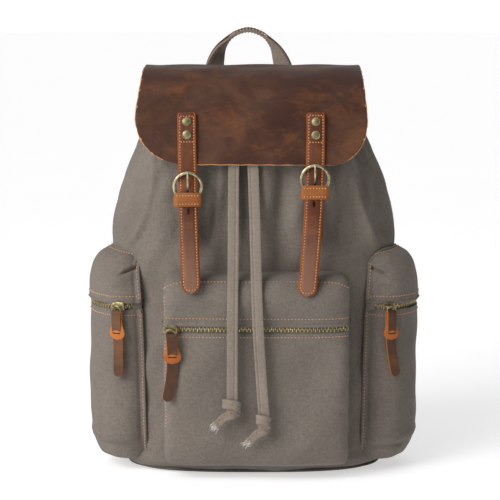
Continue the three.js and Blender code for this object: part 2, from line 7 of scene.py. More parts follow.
import bpy
import numpy as np
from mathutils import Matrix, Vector


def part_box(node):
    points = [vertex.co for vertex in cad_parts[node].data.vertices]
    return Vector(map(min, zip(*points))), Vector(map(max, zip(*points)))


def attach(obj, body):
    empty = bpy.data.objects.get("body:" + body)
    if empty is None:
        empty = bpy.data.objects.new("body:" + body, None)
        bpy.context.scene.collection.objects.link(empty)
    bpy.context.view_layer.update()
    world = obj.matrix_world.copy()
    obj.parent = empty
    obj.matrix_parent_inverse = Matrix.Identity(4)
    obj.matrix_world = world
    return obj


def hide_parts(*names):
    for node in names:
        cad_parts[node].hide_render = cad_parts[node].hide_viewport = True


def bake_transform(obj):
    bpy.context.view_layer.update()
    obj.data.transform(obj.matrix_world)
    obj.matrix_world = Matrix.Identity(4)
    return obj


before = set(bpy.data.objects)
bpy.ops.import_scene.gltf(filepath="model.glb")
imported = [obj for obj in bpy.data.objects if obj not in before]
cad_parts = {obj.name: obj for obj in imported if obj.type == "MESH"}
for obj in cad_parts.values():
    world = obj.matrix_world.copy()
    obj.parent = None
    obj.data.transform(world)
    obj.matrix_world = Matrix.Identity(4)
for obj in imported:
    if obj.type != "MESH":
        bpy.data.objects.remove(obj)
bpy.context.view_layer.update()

MM = 0.001
SIDES = (("left", -1), ("right", 1))
rng = np.random.default_rng(7)

# ---------------------------------------------------------------- camera

CAMERA_AT = Vector((0.0, -2.2, 0.5656))
CAMERA_AIM = Vector((-0.0042, 0.0, 0.236))

camera = bpy.data.cameras.new("camera")
camera.lens = 144.7
camera.sensor_width = 36
camera.clip_end = 100
camera_object = bpy.data.objects.new("camera", camera)
camera_object.location = CAMERA_AT
camera_object.rotation_mode = "QUATERNION"
camera_object.rotation_quaternion = (CAMERA_AIM - CAMERA_AT).to_track_quat("-Z", "Y")
bpy.context.collection.objects.link(camera_object)
bpy.context.scene.camera = camera_object

# ---------------------------------------------------------------- geometry tools


def unit(vectors):
    return vectors / np.maximum(np.linalg.norm(vectors, axis=-1, keepdims=True), 1e-12)


def step(low, high, x):
    """0 below low, 1 above high, smooth between."""
    t = np.clip((np.asarray(x, float) - low) / (high - low), 0, 1)
    return t * t * (3 - 2 * t)


def bell(x, middle, width):
    return np.exp(-(((np.asarray(x, float) - middle) / width) ** 2))


def bent(value, power):
    """A sine or cosine bent for a boxy curve: round at power 1, squarer below that."""
    return np.sign(value) * np.abs(value) ** power


def whole_turn(count):
    return np.linspace(0, 2 * math.pi, count, endpoint=False)


def rounded_end(left, reach, power=2, cut=1.0, least=0.0):
    """Widths that close round within reach of an end, from how much is left to the end."""
    return np.sqrt(np.clip(1 - np.clip(1 - left / reach, 0, 1) ** power * cut, least, 1))


def middle_of(node):
    low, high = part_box(node)
    return np.array((low + high) / 2)


def smooth_table(table, x):
    """The columns of a table after its first, as smooth functions of the first."""
    table = np.asarray(table, float)
    xs, ys = table[:, 0], table[:, 1:]
    slopes = np.gradient(ys, xs, axis=0)
    x = np.clip(np.asarray(x, float), xs[0], xs[-1])
    i = np.clip(np.searchsorted(xs, x) - 1, 0, len(xs) - 2)
    span = (xs[i + 1] - xs[i])[..., None]
    t = (x - xs[i])[..., None] / span
    low = (2 * t**3 - 3 * t**2 + 1) * ys[i] + (t**3 - 2 * t**2 + t) * span * slopes[i]
    high = (3 * t**2 - 2 * t**3) * ys[i + 1] + (t**3 - t**2) * span * slopes[i + 1]
    return low + high


def length_of(points):
    return float(np.linalg.norm(np.diff(points, axis=0), axis=1).sum())


def evenly(points, count):
    """count points at equal steps along a polyline."""
    points = np.asarray(points, float)
    steps = np.linalg.norm(np.diff(points, axis=0), axis=1)
    along = np.concatenate([[0], np.cumsum(steps)])
    at = np.linspace(0, along[-1], count)
    return np.column_stack([np.interp(at, along, column) for column in points.T])


def curve(points, count):
    """count points evenly along a smooth line through the given points."""
    points = np.asarray(points, float)
    steps = np.linalg.norm(np.diff(points, axis=0), axis=1)
    knots = np.concatenate([[0], np.cumsum(steps)])
    dense = smooth_table(
        np.column_stack([knots, points]), np.linspace(0, knots[-1], 40 * len(points))
    )
    return evenly(dense, count)


def tangents(points):
    return unit(np.gradient(points, axis=0))


def ribbon_frame(line, facing):
    """Along, sideways and outward vectors of a ribbon on the bag's front (-1) or back (1)."""
    along = tangents(line)
    sides = unit(np.array([1.0, 0, 0]) - along * along[:, :1])
    outs = np.cross(along, sides)
    if outs[:, 1].mean() * facing < 0:
        outs = -outs
    return along, sides, outs


def facing_out(section, names, along, side, up):
    """A section and its face names, turned over where its faces would look inwards."""
    if np.dot(np.cross(side, up), along) < 0:
        section = section[::-1]
        names = [names[(len(names) - 2 - k) % len(names)] for k in range(len(names))]
    return section, names


def grid_normals(points, closed=False):
    """Unit normals of a grid of points, along its columns crossed with its rows."""
    if closed:
        across = np.roll(points, -1, axis=1) - np.roll(points, 1, axis=1)
    else:
        across = np.gradient(points, axis=1)
    return unit(np.cross(across, np.gradient(points, axis=0)))


def grid_quads(rows, columns, closed=False):
    index = np.arange(rows * columns).reshape(rows, columns)
    right = np.roll(index, -1, axis=1)
    if not closed:
        index, right = index[:, :-1], right[:, :-1]
    return np.stack(
        [index[:-1], right[:-1], right[1:], index[1:]], axis=-1
    ).reshape(-1, 4)


class Shape:
    """The points and faces of one piece, each face with the name of its material."""

    def __init__(self):
        self.points, self.faces, self.materials, self.count = [], [], [], 0

    def add(self, points, faces, material):
        points = np.asarray(points, float).reshape(-1, 3)
        self.points.append(points)
        self.faces += [[i + self.count for i in face] for face in faces]
        many = isinstance(material, list)
        self.materials += material if many else [material] * len(faces)
        self.count += len(points)

    def cap_ends(self, around, count, material):
        """Closes both ends of the last count rings of points."""
        base = self.count - count * around
        first = list(range(base, base + around))
        last = list(range(self.count - around, self.count))
        self.faces += [first[::-1], last]
        self.materials += [material, material]

    def sheet(self, outer, thickness, outside, inside, edge, centre, closed=False):
        """A sheet with a thickness, from its outer face; centre is a point on its inner side."""
        rows, columns = outer.shape[:2]
        normals = grid_normals(outer, closed)
        quads = grid_quads(rows, columns, closed)
        turned = np.sum(normals * (outer - np.asarray(centre)), axis=-1).mean() < 0
        if turned:
            normals, quads = -normals, quads[:, ::-1]
        points = np.concatenate(
            [outer.reshape(-1, 3), (outer - normals * thickness).reshape(-1, 3)]
        )
        total = rows * columns
        index = np.arange(total).reshape(rows, columns)
        last = columns if closed else columns - 1
        loops = [index[0], index[-1][::-1]]
        if closed:
            loops = [np.append(loop, loop[0]) for loop in loops]
        else:
            loops += [index[::-1, 0], index[:, -1]]
        rim = []
        for loop in loops:
            rim += [[b, a, a + total, b + total] for a, b in zip(loop[:-1], loop[1:])]
        if turned:
            rim = [face[::-1] for face in rim]
        faces = quads.tolist() + (quads[:, ::-1] + total).tolist() + rim
        outer_names = outside if isinstance(outside, list) else [outside] * len(quads)
        names = outer_names + [inside] * len(quads) + [edge] * len(rim)
        self.add(points, faces, names)
        return normals

    def sweep(self, centres, sides, ups, section, material, widths=None, closed=False):
        """A closed section, in sideways and upward offsets, carried along a line."""
        section = np.asarray(section, float)
        centres = np.asarray(centres, float)
        count, around = len(centres), len(section)
        widths = np.ones(count) if widths is None else np.asarray(widths, float)
        points = (
            centres[:, None]
            + sides[:, None] * (section[None, :, :1] * widths[:, None, None])
            + ups[:, None] * section[None, :, 1:]
        )
        if closed:
            points = np.concatenate([points, points[:1]])
        quads = grid_quads(len(points), around, closed=True)
        if closed:
            quads = quads % (count * around)
            points = points[:-1]
        faces = quads.tolist()
        names = material * (len(faces) // around) if isinstance(material, list) else material
        self.add(points, faces, names)
        if not closed:
            end = material[0] if isinstance(material, list) else material
            self.cap_ends(around, count, end)

    def tube(self, path, radius, material, around=8, closed=False, flat=1.0):
        """A round or flattened tube along a line; radius may change along it."""
        path = np.asarray(path, float)
        along = tangents(path)
        side = np.cross(along[0], [0.31, 0.87, 0.39])
        sides = []
        for direction in along:
            side = unit(side - direction * np.dot(side, direction))
            sides.append(side)
        sides = np.array(sides)
        ups = np.cross(along, sides)
        turn = whole_turn(around)
        radii = np.broadcast_to(radius, len(path))
        ring = (
            sides[:, None] * np.cos(turn)[None, :, None]
            + ups[:, None] * np.sin(turn)[None, :, None] * flat
        )
        points = path[:, None] + ring * radii[:, None, None]
        if closed:
            quads = grid_quads(len(path) + 1, around, closed=True) % (len(path) * around)
            self.add(points, quads.tolist(), material)
            return
        quads = grid_quads(len(path), around, closed=True)
        self.add(points, quads.tolist(), material)
        self.cap_ends(around, len(path), material)

    def lathe(self, profile, origin, axis, material, around=32):
        """A profile of radius and height, turned about an axis."""
        axis = unit(np.asarray(axis, float))
        side = unit(np.cross(axis, [0.3, 0.5, 0.81]))
        other = np.cross(axis, side)
        turn = whole_turn(around)
        ring = side * np.cos(turn)[:, None] + other * np.sin(turn)[:, None]
        profile = np.asarray(profile, float)
        points = np.asarray(origin) + (
            ring[None] * np.maximum(profile[:, :1, None], 1e-5)
            + axis * profile[:, 1:, None]
        )
        quads = grid_quads(len(profile), around, closed=True)
        self.add(points, quads.tolist(), material)
        self.cap_ends(around, len(profile), material)

    def pebble(self, centre, half, material, turn=None, power=4.0, rows=12, around=20):
        """A closed rounded block: a ball at power 2, a box with soft edges above that."""
        up = np.linspace(-math.pi / 2, math.pi / 2, rows)
        level, height = bent(np.cos(up), 2 / power), bent(np.sin(up), 2 / power)
        across = bent(np.cos(whole_turn(around)), 2 / power)
        deep = bent(np.sin(whole_turn(around)), 2 / power)
        points = np.stack(
            [
                level[:, None] * across[None],
                level[:, None] * deep[None],
                np.repeat(height[:, None], around, axis=1),
            ],
            axis=-1,
        ) * np.asarray(half)
        if turn is not None:
            points = points @ np.array(turn).T
        quads = grid_quads(rows, around, closed=True)
        self.add(points + np.asarray(centre), quads.tolist(), material)

    def stitches(self, line, normals, thread, pitch=3.6 * MM, size=0.60 * MM, fill=0.62):
        """A row of single stitches along a line on a surface."""
        line = np.asarray(line, float)
        steps = np.linalg.norm(np.diff(line, axis=0), axis=1)
        along = np.concatenate([[0], np.cumsum(steps)])
        count = max(int(along[-1] / pitch), 1)
        at = (np.arange(count) + 0.5) * along[-1] / count
        normals = np.broadcast_to(np.asarray(normals, float), line.shape)

        def pick(rows):
            return np.column_stack([np.interp(at, along, column) for column in rows.T])

        middle, up = pick(line), unit(pick(normals))
        forward = unit(pick(tangents(line)))
        side = np.cross(forward, up)
        around = 6
        turn = whole_turn(around)
        # Five rings from hole to hole: place along, thickness and lift, each times the stitch.
        rings = [(-0.5, 0.35, -0.5), (-0.36, 0.9, 0.15), (0.0, 1.1, 0.45)]
        rings += [(0.36, 0.9, 0.15), (0.5, 0.35, -0.5)]
        jitter = rng.uniform(0.9, 1.1, count)[:, None]
        points = []
        for ahead, thick, lift in rings:
            for angle in turn:
                points.append(
                    middle
                    + forward * (ahead * pitch * fill) * jitter
                    + side * (math.cos(angle) * thick * size)
                    + up * ((math.sin(angle) * thick + lift) * size)
                )
        points = np.array(points).transpose(1, 0, 2)
        one = grid_quads(len(rings), around, closed=True).tolist()
        one += [list(range(around))[::-1]]
        one += [list(range(around * (len(rings) - 1), around * len(rings)))]
        size_of = around * len(rings)
        faces = [[i + k * size_of for i in face] for k in range(count) for face in one]
        self.add(points, faces, thread)


def piece(name, shape, body, nodes=(), sharp=48):
    """Makes the object, puts it on its body and hides the CAD nodes that it stands for."""
    mesh = bpy.data.meshes.new(name)
    mesh.from_pydata(np.concatenate(shape.points), [], shape.faces)
    names = list(dict.fromkeys(shape.materials))
    number = {material: index for index, material in enumerate(names)}
    for material in names:
        mesh.materials.append(MATERIALS[material])
    mesh.polygons.foreach_set("material_index", [number[m] for m in shape.materials])
    mesh.polygons.foreach_set("use_smooth", [True] * len(mesh.polygons))
    mesh.set_sharp_from_angle(angle=math.radians(sharp))
    mesh.validate()
    mesh.update()
    made = bpy.data.objects.new(name, mesh)
    bpy.context.collection.objects.link(made)
    if body:
        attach(made, body)
    if nodes:
        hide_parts(*nodes)
    return made


# ---------------------------------------------------------------- materials

MATERIALS = {}


class Paint:
    """A Principled material and short ways to add nodes to it."""

    def __init__(self, name, roughness=0.8, metallic=0.0):
        self.material = bpy.data.materials.new(name)
        self.material.use_nodes = True
        self.tree = self.material.node_tree
        self.shader = self.tree.nodes["Principled BSDF"]
        self.shader.inputs["Roughness"].default_value = roughness
        self.shader.inputs["Metallic"].default_value = metallic
        self.place = self.tree.nodes.new("ShaderNodeTexCoord").outputs["Object"]
        MATERIALS[name] = self.material

    def noise(self, scale, detail=3.0, rough=0.55, distortion=0.0):
        """Noise in the object's own space; scale is features per metre, one number or three."""
        stretch = self.tree.nodes.new("ShaderNodeMapping")
        stretch.inputs["Scale"].default_value = (
            scale if isinstance(scale, tuple) else (scale,) * 3
        )
        self.tree.links.new(self.place, stretch.inputs["Vector"])
        made = self.tree.nodes.new("ShaderNodeTexNoise")
        made.inputs["Scale"].default_value = 1.0
        made.inputs["Detail"].default_value = detail
        made.inputs["Roughness"].default_value = rough
        made.inputs["Distortion"].default_value = distortion
        self.tree.links.new(stretch.outputs["Vector"], made.inputs["Vector"])
        return made.outputs["Fac"]

    def ramp(self, factor, stops):
        """Colours or greys along a factor, as pairs of place and colour."""
        made = self.tree.nodes.new("ShaderNodeValToRGB")
        ramp = made.color_ramp
        while len(ramp.elements) < len(stops):
            ramp.elements.new(0.5)
        for element, (at, colour) in zip(ramp.elements, stops):
            element.position = at
            element.color = (*colour, 1) if isinstance(colour, tuple) else (colour,) * 3 + (1,)
        self.tree.links.new(factor, made.inputs["Fac"])
        return made.outputs["Color"]

    def mix(self, factor, a, b, mode="MIX"):
        made = self.tree.nodes.new("ShaderNodeMix")
        made.data_type = "RGBA"
        made.blend_type = mode
        for socket, value in ((made.inputs[0], factor), (made.inputs[6], a), (made.inputs[7], b)):
            if isinstance(value, bpy.types.NodeSocket):
                self.tree.links.new(value, socket)
            else:
                socket.default_value = (*value, 1) if isinstance(value, tuple) else value
        return made.outputs[2]

    def maths(self, kind, a, b=0.5):
        made = self.tree.nodes.new("ShaderNodeMath")
        made.operation = kind
        for socket, value in zip(made.inputs, (a, b)):
            if isinstance(value, bpy.types.NodeSocket):
                self.tree.links.new(value, socket)
            else:
                socket.default_value = value
        return made.outputs[0]

    def colour(self, socket):
        self.tree.links.new(socket, self.shader.inputs["Base Color"])

    def roughness(self, socket):
        self.tree.links.new(socket, self.shader.inputs["Roughness"])

    def bump(self, height, distance, strength=1.0):
        made = self.tree.nodes.new("ShaderNodeBump")
        made.inputs["Distance"].default_value = distance
        made.inputs["Strength"].default_value = strength
        self.tree.links.new(height, made.inputs["Height"])
        self.tree.links.new(made.outputs["Normal"], self.shader.inputs["Normal"])


def woven(name, light, dark, threads=900.0, slub=0.35, sheen=0.06, fade=0.5):
    """Plain-woven cotton: threads along and up, uneven yarn, and cloudy washed patches."""
    paint = Paint(name, roughness=0.93)
    weft = paint.noise((170.0, 170.0, threads), detail=2.0)
    warp = paint.noise((threads, threads, 170.0), detail=2.0)
    weave = paint.maths("MULTIPLY", paint.maths("ADD", weft, warp), 0.5)
    fleck = paint.noise(620.0, detail=4.0, rough=0.7)
    cloud = paint.noise(16.0, detail=5.0, rough=0.6)
    middle = tuple((a + b) / 2 for a, b in zip(light, dark))
    cloth = paint.ramp(weave, [(0.30, dark), (0.5, middle), (0.68, light)])
    flecked = paint.mix(slub, cloth, paint.ramp(fleck, [(0.36, dark), (0.62, light)]))
    patches = paint.ramp(cloud, [(0.35, 0.80), (0.65, 1.08)])
    paint.colour(paint.mix(fade, flecked, patches, "MULTIPLY"))
    paint.roughness(paint.ramp(fleck, [(0.3, 0.86), (0.7, 0.98)]))
    paint.shader.inputs["Specular IOR Level"].default_value = 0.15
    paint.shader.inputs["Sheen Weight"].default_value = sheen
    paint.shader.inputs["Sheen Roughness"].default_value = 0.6
    height = paint.maths("ADD", weave, paint.maths("MULTIPLY", fleck, 0.5))
    paint.bump(height, 0.0009, 0.55)


def leather(name, base, scuff, dark, rust, rough=0.52, scuffs=0.5, grain=520.0, worn=None):
    """Waxed pull-up leather: cloudy tone, pale scuffs, rusty rubs, fine scratches and grain."""
    paint = Paint(name, roughness=rough)
    cloud = paint.noise((11.0, 11.0, 16.0), detail=6.0, rough=0.62, distortion=0.6)
    rub = paint.noise((24.0, 24.0, 40.0), detail=9.0, rough=0.74, distortion=0.4)
    scratch = paint.noise((260.0, 90.0, 420.0), detail=3.0, rough=0.6, distortion=1.5)
    fine = paint.noise(grain, detail=5.0, rough=0.65)
    tone = paint.ramp(cloud, [(0.28, dark), (0.48, base), (0.72, scuff)])
    rusty = paint.mix(paint.ramp(rub, [(0.50, 0.0), (0.74, scuffs)]), tone, rust)
    lines = paint.ramp(scratch, [(0.62, 0.0), (0.78, 0.35)])
    marked = paint.mix(lines, rusty, scuff)
    if worn:
        # Rubbed pale below a height, where the leather hangs free and is handled most.
        pale, low, high = worn
        split = paint.tree.nodes.new("ShaderNodeSeparateXYZ")
        paint.tree.links.new(paint.place, split.inputs[0])
        reach = paint.ramp(split.outputs["Z"], [(low, 0.70), (high, 0.0)])
        marked = paint.mix(reach, marked, pale)
    speckle = paint.ramp(fine, [(0.3, 0.70), (0.7, 1.25)])
    paint.colour(paint.mix(0.35, marked, speckle, "MULTIPLY"))
    paint.roughness(paint.ramp(cloud, [(0.3, rough - 0.06), (0.7, rough + 0.16)]))
    height = paint.maths("ADD", fine, paint.maths("MULTIPLY", scratch, 0.6))
    paint.bump(height, 0.0006, 0.35)
    paint.shader.inputs["Specular IOR Level"].default_value = 0.22


def metal(name, bright, dull, rough=0.34):
    """Antique brass: bright where it is rubbed, brown in the noise of its tarnish."""
    paint = Paint(name, roughness=rough, metallic=1.0)
    tarnish = paint.noise(260.0, detail=5.0, rough=0.65)
    paint.colour(paint.ramp(tarnish, [(0.34, dull), (0.62, bright)]))
    paint.roughness(paint.ramp(tarnish, [(0.3, rough + 0.18), (0.7, rough - 0.06)]))
    paint.bump(tarnish, 0.0002, 0.2)


def fibre(name, light, dark, rough=0.85, scale=1400.0):
    """Thread, raw edges and other plain fibre, with fine variation."""
    paint = Paint(name, roughness=rough)
    grain = paint.noise(scale, detail=3.0, rough=0.6)
    paint.colour(paint.ramp(grain, [(0.32, dark), (0.68, light)]))
    paint.bump(grain, 0.0004, 0.5)


woven("canvas", (0.205, 0.176, 0.150), (0.112, 0.095, 0.080))
woven("canvas_tape", (0.285, 0.235, 0.195), (0.170, 0.138, 0.112), threads=1100.0)
# The canvas at about half its brightness: painted shade, used for the pockets' insides, the bag's underside
# and base piping, and the pads' edge piping.
woven("canvas_dark", (0.110, 0.094, 0.080), (0.060, 0.051, 0.043))
woven("lining", (0.42, 0.36, 0.27), (0.30, 0.25, 0.18), threads=1300.0, slub=0.2)
woven("zip_tape", (0.155, 0.138, 0.105), (0.085, 0.076, 0.058), threads=1500.0)
woven("webbing", (0.165, 0.143, 0.122), (0.080, 0.068, 0.058), threads=420.0, slub=0.15)
leather(
    "flap_leather", (0.050, 0.0185, 0.0105), (0.104, 0.047, 0.025), (0.031, 0.0125, 0.0085),
    (0.165, 0.054, 0.015), scuffs=0.80,
)
leather(
    "strap_leather", (0.082, 0.025, 0.011), (0.145, 0.050, 0.021), (0.050, 0.016, 0.009),
    (0.235, 0.068, 0.017), rough=0.46, scuffs=0.8, worn=((0.235, 0.122, 0.080), 0.222, 0.292),
)
leather(
    "strap_margin", (0.190, 0.045, 0.010), (0.270, 0.076, 0.018), (0.110, 0.026, 0.008),
    (0.290, 0.074, 0.014), rough=0.5,
)
leather(
    "keeper_leather", (0.235, 0.078, 0.020), (0.330, 0.125, 0.036), (0.140, 0.044, 0.014),
    (0.350, 0.105, 0.024), rough=0.5,
)
leather(
    "pull_leather", (0.064, 0.031, 0.018), (0.135, 0.066, 0.034), (0.036, 0.018, 0.012),
    (0.230, 0.080, 0.024), rough=0.5,
)
leather(
    "handle_face", (0.140, 0.066, 0.042), (0.205, 0.105, 0.064), (0.085, 0.040, 0.026),
    (0.240, 0.090, 0.035), rough=0.5,
)
leather(
    "pull_flesh", (0.370, 0.105, 0.022), (0.450, 0.155, 0.038), (0.260, 0.066, 0.014),
    (0.470, 0.125, 0.024), rough=0.62,
)
fibre("raw_edge", (0.560, 0.310, 0.150), (0.300, 0.140, 0.060), scale=700.0)
fibre("flesh_side", (0.300, 0.185, 0.115), (0.190, 0.110, 0.068), scale=500.0)
fibre("thread", (0.660, 0.330, 0.150), (0.430, 0.190, 0.080))
fibre("canvas_thread", (0.560, 0.330, 0.215), (0.350, 0.190, 0.120))
fibre("cord_thread", (0.430, 0.245, 0.135), (0.260, 0.140, 0.075))
fibre("frayed", (0.700, 0.660, 0.600), (0.430, 0.390, 0.340))
fibre("board", (0.330, 0.280, 0.200), (0.230, 0.190, 0.130), scale=300.0)
fibre("foam", (0.620, 0.600, 0.520), (0.480, 0.460, 0.390), scale=900.0)
# Near black: painted shade, in the pull's slit and on the walls of the straps' holes.
fibre("hole", (0.030, 0.018, 0.012), (0.012, 0.008, 0.006))
metal("brass", (0.560, 0.500, 0.340), (0.250, 0.210, 0.125))
metal("brass_dark", (0.380, 0.320, 0.175), (0.170, 0.135, 0.068), rough=0.4)
metal("brass_teeth", (0.620, 0.500, 0.270), (0.260, 0.200, 0.100), rough=0.38)
metal("rivet_brass", (0.330, 0.285, 0.155), (0.170, 0.140, 0.070), rough=0.42)

# ---------------------------------------------------------------- light and floor


def light(name, kind, power, towards, size, colour=(1, 1, 1), at=(0, 0, 2)):
    data = bpy.data.lights.new(name, kind)
    data.energy = power
    data.color = colour
    if kind == "SUN":
        data.angle = size
    else:
        data.size = size
    made = bpy.data.objects.new(name, data)
    made.location = at
    made.rotation_mode = "QUATERNION"
    made.rotation_quaternion = Vector(towards).to_track_quat("-Z", "Y")
    bpy.context.collection.objects.link(made)


light("key", "SUN", 1.40, (0.60, 0.62, -0.60), math.radians(36), (1.0, 0.985, 0.965))
light(
    "from_left", "AREA", 12.5, (1.0, 0.85, -0.5), 0.9, (1.0, 0.99, 0.98), at=(-1.00, -0.86, 0.80)
)
light("from_behind", "SUN", 0.9, (-0.25, -0.9, -0.45), math.radians(80))
light("top", "SUN", 0.9, (0.05, 0.20, -1.0), math.radians(70))

world = bpy.data.worlds.new("studio")
world.use_nodes = True
world.node_tree.nodes["Background"].inputs["Color"].default_value = (1.0, 1.0, 1.0, 1.0)
world.node_tree.nodes["Background"].inputs["Strength"].default_value = 0.05
bpy.context.scene.world = world
bpy.context.scene.view_settings.view_transform = "Standard"



def studio_white(name, light_grey, dark_grey, glow):
    """A pale plain surface that gives off some light of its own."""
    fibre(name, light_grey, dark_grey, rough=0.9, scale=3.0)
    shader = MATERIALS[name].node_tree.nodes["Principled BSDF"]
    shader.inputs["Emission Color"].default_value = (1.0, 1.0, 1.0, 1.0)
    shader.inputs["Emission Strength"].default_value = glow


FLOOR_REACH = 60.0
RIM_REACH = 12.0
RIM_FOOT = -0.05
RIM_HEIGHT = 4.0

studio_white("floor", (0.62, 0.62, 0.63), (0.60, 0.60, 0.61), 0.53)
floor_shape = Shape()
span = np.linspace(-FLOOR_REACH, FLOOR_REACH, 9)
floor_points = np.array([[[x, y, 0.0] for x in span] for y in span])
floor_shape.add(floor_points, grid_quads(9, 9).tolist(), "floor")
floor = piece("floor", floor_shape, None)
# A low white rim round the floor, so that a level view has no dark horizon. It lights nothing.
studio_white("backdrop", (0.80, 0.80, 0.80), (0.79, 0.79, 0.79), 1.0)
angle = whole_turn(96)
rim_shape = Shape()
rim_points = np.array([
    np.column_stack([np.cos(angle) * RIM_REACH, np.sin(angle) * RIM_REACH, 0 * angle + height])
    for height in (RIM_FOOT, RIM_HEIGHT)
])
rim_shape.add(rim_points, grid_quads(2, 96, closed=True).tolist(), "backdrop")
rim = piece("backdrop", rim_shape, None)
rim.visible_diffuse = rim.visible_glossy = rim.visible_shadow = False

# ---------------------------------------------------------------- drawstrings

CORD_WIDTH = 0.0115
CORD_THICK = 0.0024
CORD_ROUTES = {
    "left": [
        (-0.0206, -0.0728, 0.3700), (-0.0207, -0.0758, 0.3645), (-0.0209, -0.0783, 0.3560),
        (-0.0211, -0.0798, 0.3460), (-0.0214, -0.0808, 0.3320), (-0.0216, -0.0830, 0.3160),
        (-0.0217, -0.0870, 0.2980), (-0.0217, -0.0925, 0.2800), (-0.0217, -0.0990, 0.2620),
        (-0.0218, -0.1065, 0.2440), (-0.0219, -0.1140, 0.2260), (-0.0221, -0.1196, 0.2090),
        (-0.0223, -0.1224, 0.1920), (-0.0225, -0.1234, 0.1740), (-0.0226, -0.1235, 0.1500),
        (-0.0227, -0.1235, 0.1260), (-0.0228, -0.1235, 0.1060), (-0.0228, -0.1235, 0.0912),
    ],
    "right": [
        (-0.0024, -0.0728, 0.3700), (-0.0022, -0.0758, 0.3645), (-0.0017, -0.0783, 0.3560),
        (-0.0013, -0.0798, 0.3460), (-0.0008, -0.0808, 0.3320), (-0.0002, -0.0830, 0.3160),
        (0.0004, -0.0870, 0.2980), (0.0010, -0.0925, 0.2800), (0.0015, -0.0990, 0.2620),
        (0.0020, -0.1065, 0.2440), (0.0025, -0.1140, 0.2260), (0.0030, -0.1196, 0.2090),
        (0.0036, -0.1224, 0.1920), (0.0043, -0.1234, 0.1740), (0.0056, -0.1235, 0.1500),
        (0.0072, -0.1235, 0.1260), (0.0086, -0.1235, 0.1060), (0.0099, -0.1235, 0.0880),
        (0.0110, -0.1235, 0.0742),
    ],
}
# Where the tape's sewn seam runs across its face, from -1 to 1.
CORD_SEAM = {"left": 0.45, "right": -0.45}
KNOT_TAPE_THICK = 0.0021


def tape_section(half_width, half_thick, seam):
    """A folded tape's outline, with a shallow groove where its seam is sewn."""
    across = np.linspace(-1, 1, 15)
    face = half_thick * (1 - 0.45 * bell(across, seam, 0.12) - 0.35 * np.abs(across) ** 6)
    top = np.column_stack([across * half_width, face])
    under = np.column_stack([across[::-1] * half_width, -face[::-1]])
    return np.concatenate([top, under])


def tape(shape, path, sides, width, thick, seam, material, thread=None, widths=None):
    """A flat tape along a path, with a row of stitches along its seam."""
    along = tangents(path)
    sides = unit(sides - along * np.sum(sides * along, axis=1)[:, None])
    ups = np.cross(sides, along)
    section = tape_section(width / 2, thick / 2, seam)
    shape.sweep(path, sides, ups, section, material, widths)
    if thread:
        wide = np.ones(len(path)) if widths is None else widths
        line = path + sides * (seam * width / 2 * wide)[:, None] + ups * (thick * 0.42)
        shape.stitches(line, ups, thread, pitch=3.4 * MM, size=0.60 * MM)


FRAY_SPREAD = np.array([2.6, 0.8, 1.6]) * MM
# Loose yarn never comes further forward than this, so it stays inside the bag's depth.
FRAY_FRONT_Y = -0.1285


def frayed_end(shape, at, direction, spread, count=34, length=6 * MM):
    """Loose white yarn at a cut end."""
    direction = unit(np.asarray(direction, float))
    for _ in range(count):
        root = np.asarray(at) + rng.normal(0, 1, 3) * FRAY_SPREAD
        lean = unit(direction + rng.normal(0, spread, 3))
        bend = rng.normal(0, 0.35, 3)
        reach = length * rng.uniform(0.45, 1.0)
        t = np.linspace(0, 1, 6)[:, None]
        path = root + lean * t * reach + bend * (t**2) * reach * 0.5
        path[:, 1] = np.maximum(path[:, 1], FRAY_FRONT_Y)
        shape.tube(path, np.linspace(0.34, 0.16, 6) * MM, "frayed", around=5)


# Each knot is a turn of the tape round the cord, and a tail that comes out from under it.
KNOT_WRAPS = {
    "left": {
        "wrap": [
            (-0.0328, -0.1245, 0.0905), (-0.0290, -0.1262, 0.0905), (-0.0230, -0.1276, 0.0900),
            (-0.0168, -0.1262, 0.0880), (-0.0150, -0.1235, 0.0860), (-0.0170, -0.1212, 0.0840),
            (-0.0230, -0.1208, 0.0830), (-0.0300, -0.1215, 0.0810),
        ],
        "under": [
            (-0.0170, -0.1225, 0.0815), (-0.0230, -0.1262, 0.0790), (-0.0300, -0.1258, 0.0765),
            (-0.0355, -0.1245, 0.0715), (-0.0395, -0.1240, 0.0665),
        ],
    },
    "right": {
        "wrap": [
            (0.0030, -0.1245, 0.0735), (0.0050, -0.1262, 0.0738), (0.0098, -0.1276, 0.0732),
            (0.0150, -0.1262, 0.0715), (0.0168, -0.1235, 0.0690), (0.0150, -0.1212, 0.0668),
            (0.0100, -0.1208, 0.0655), (0.0040, -0.1215, 0.0640),
        ],
        "under": [
            (0.0150, -0.1225, 0.0640), (0.0100, -0.1262, 0.0612), (0.0045, -0.1258, 0.0585),
            (-0.0005, -0.1245, 0.0535), (-0.0040, -0.1240, 0.0490),
        ],
    },
}

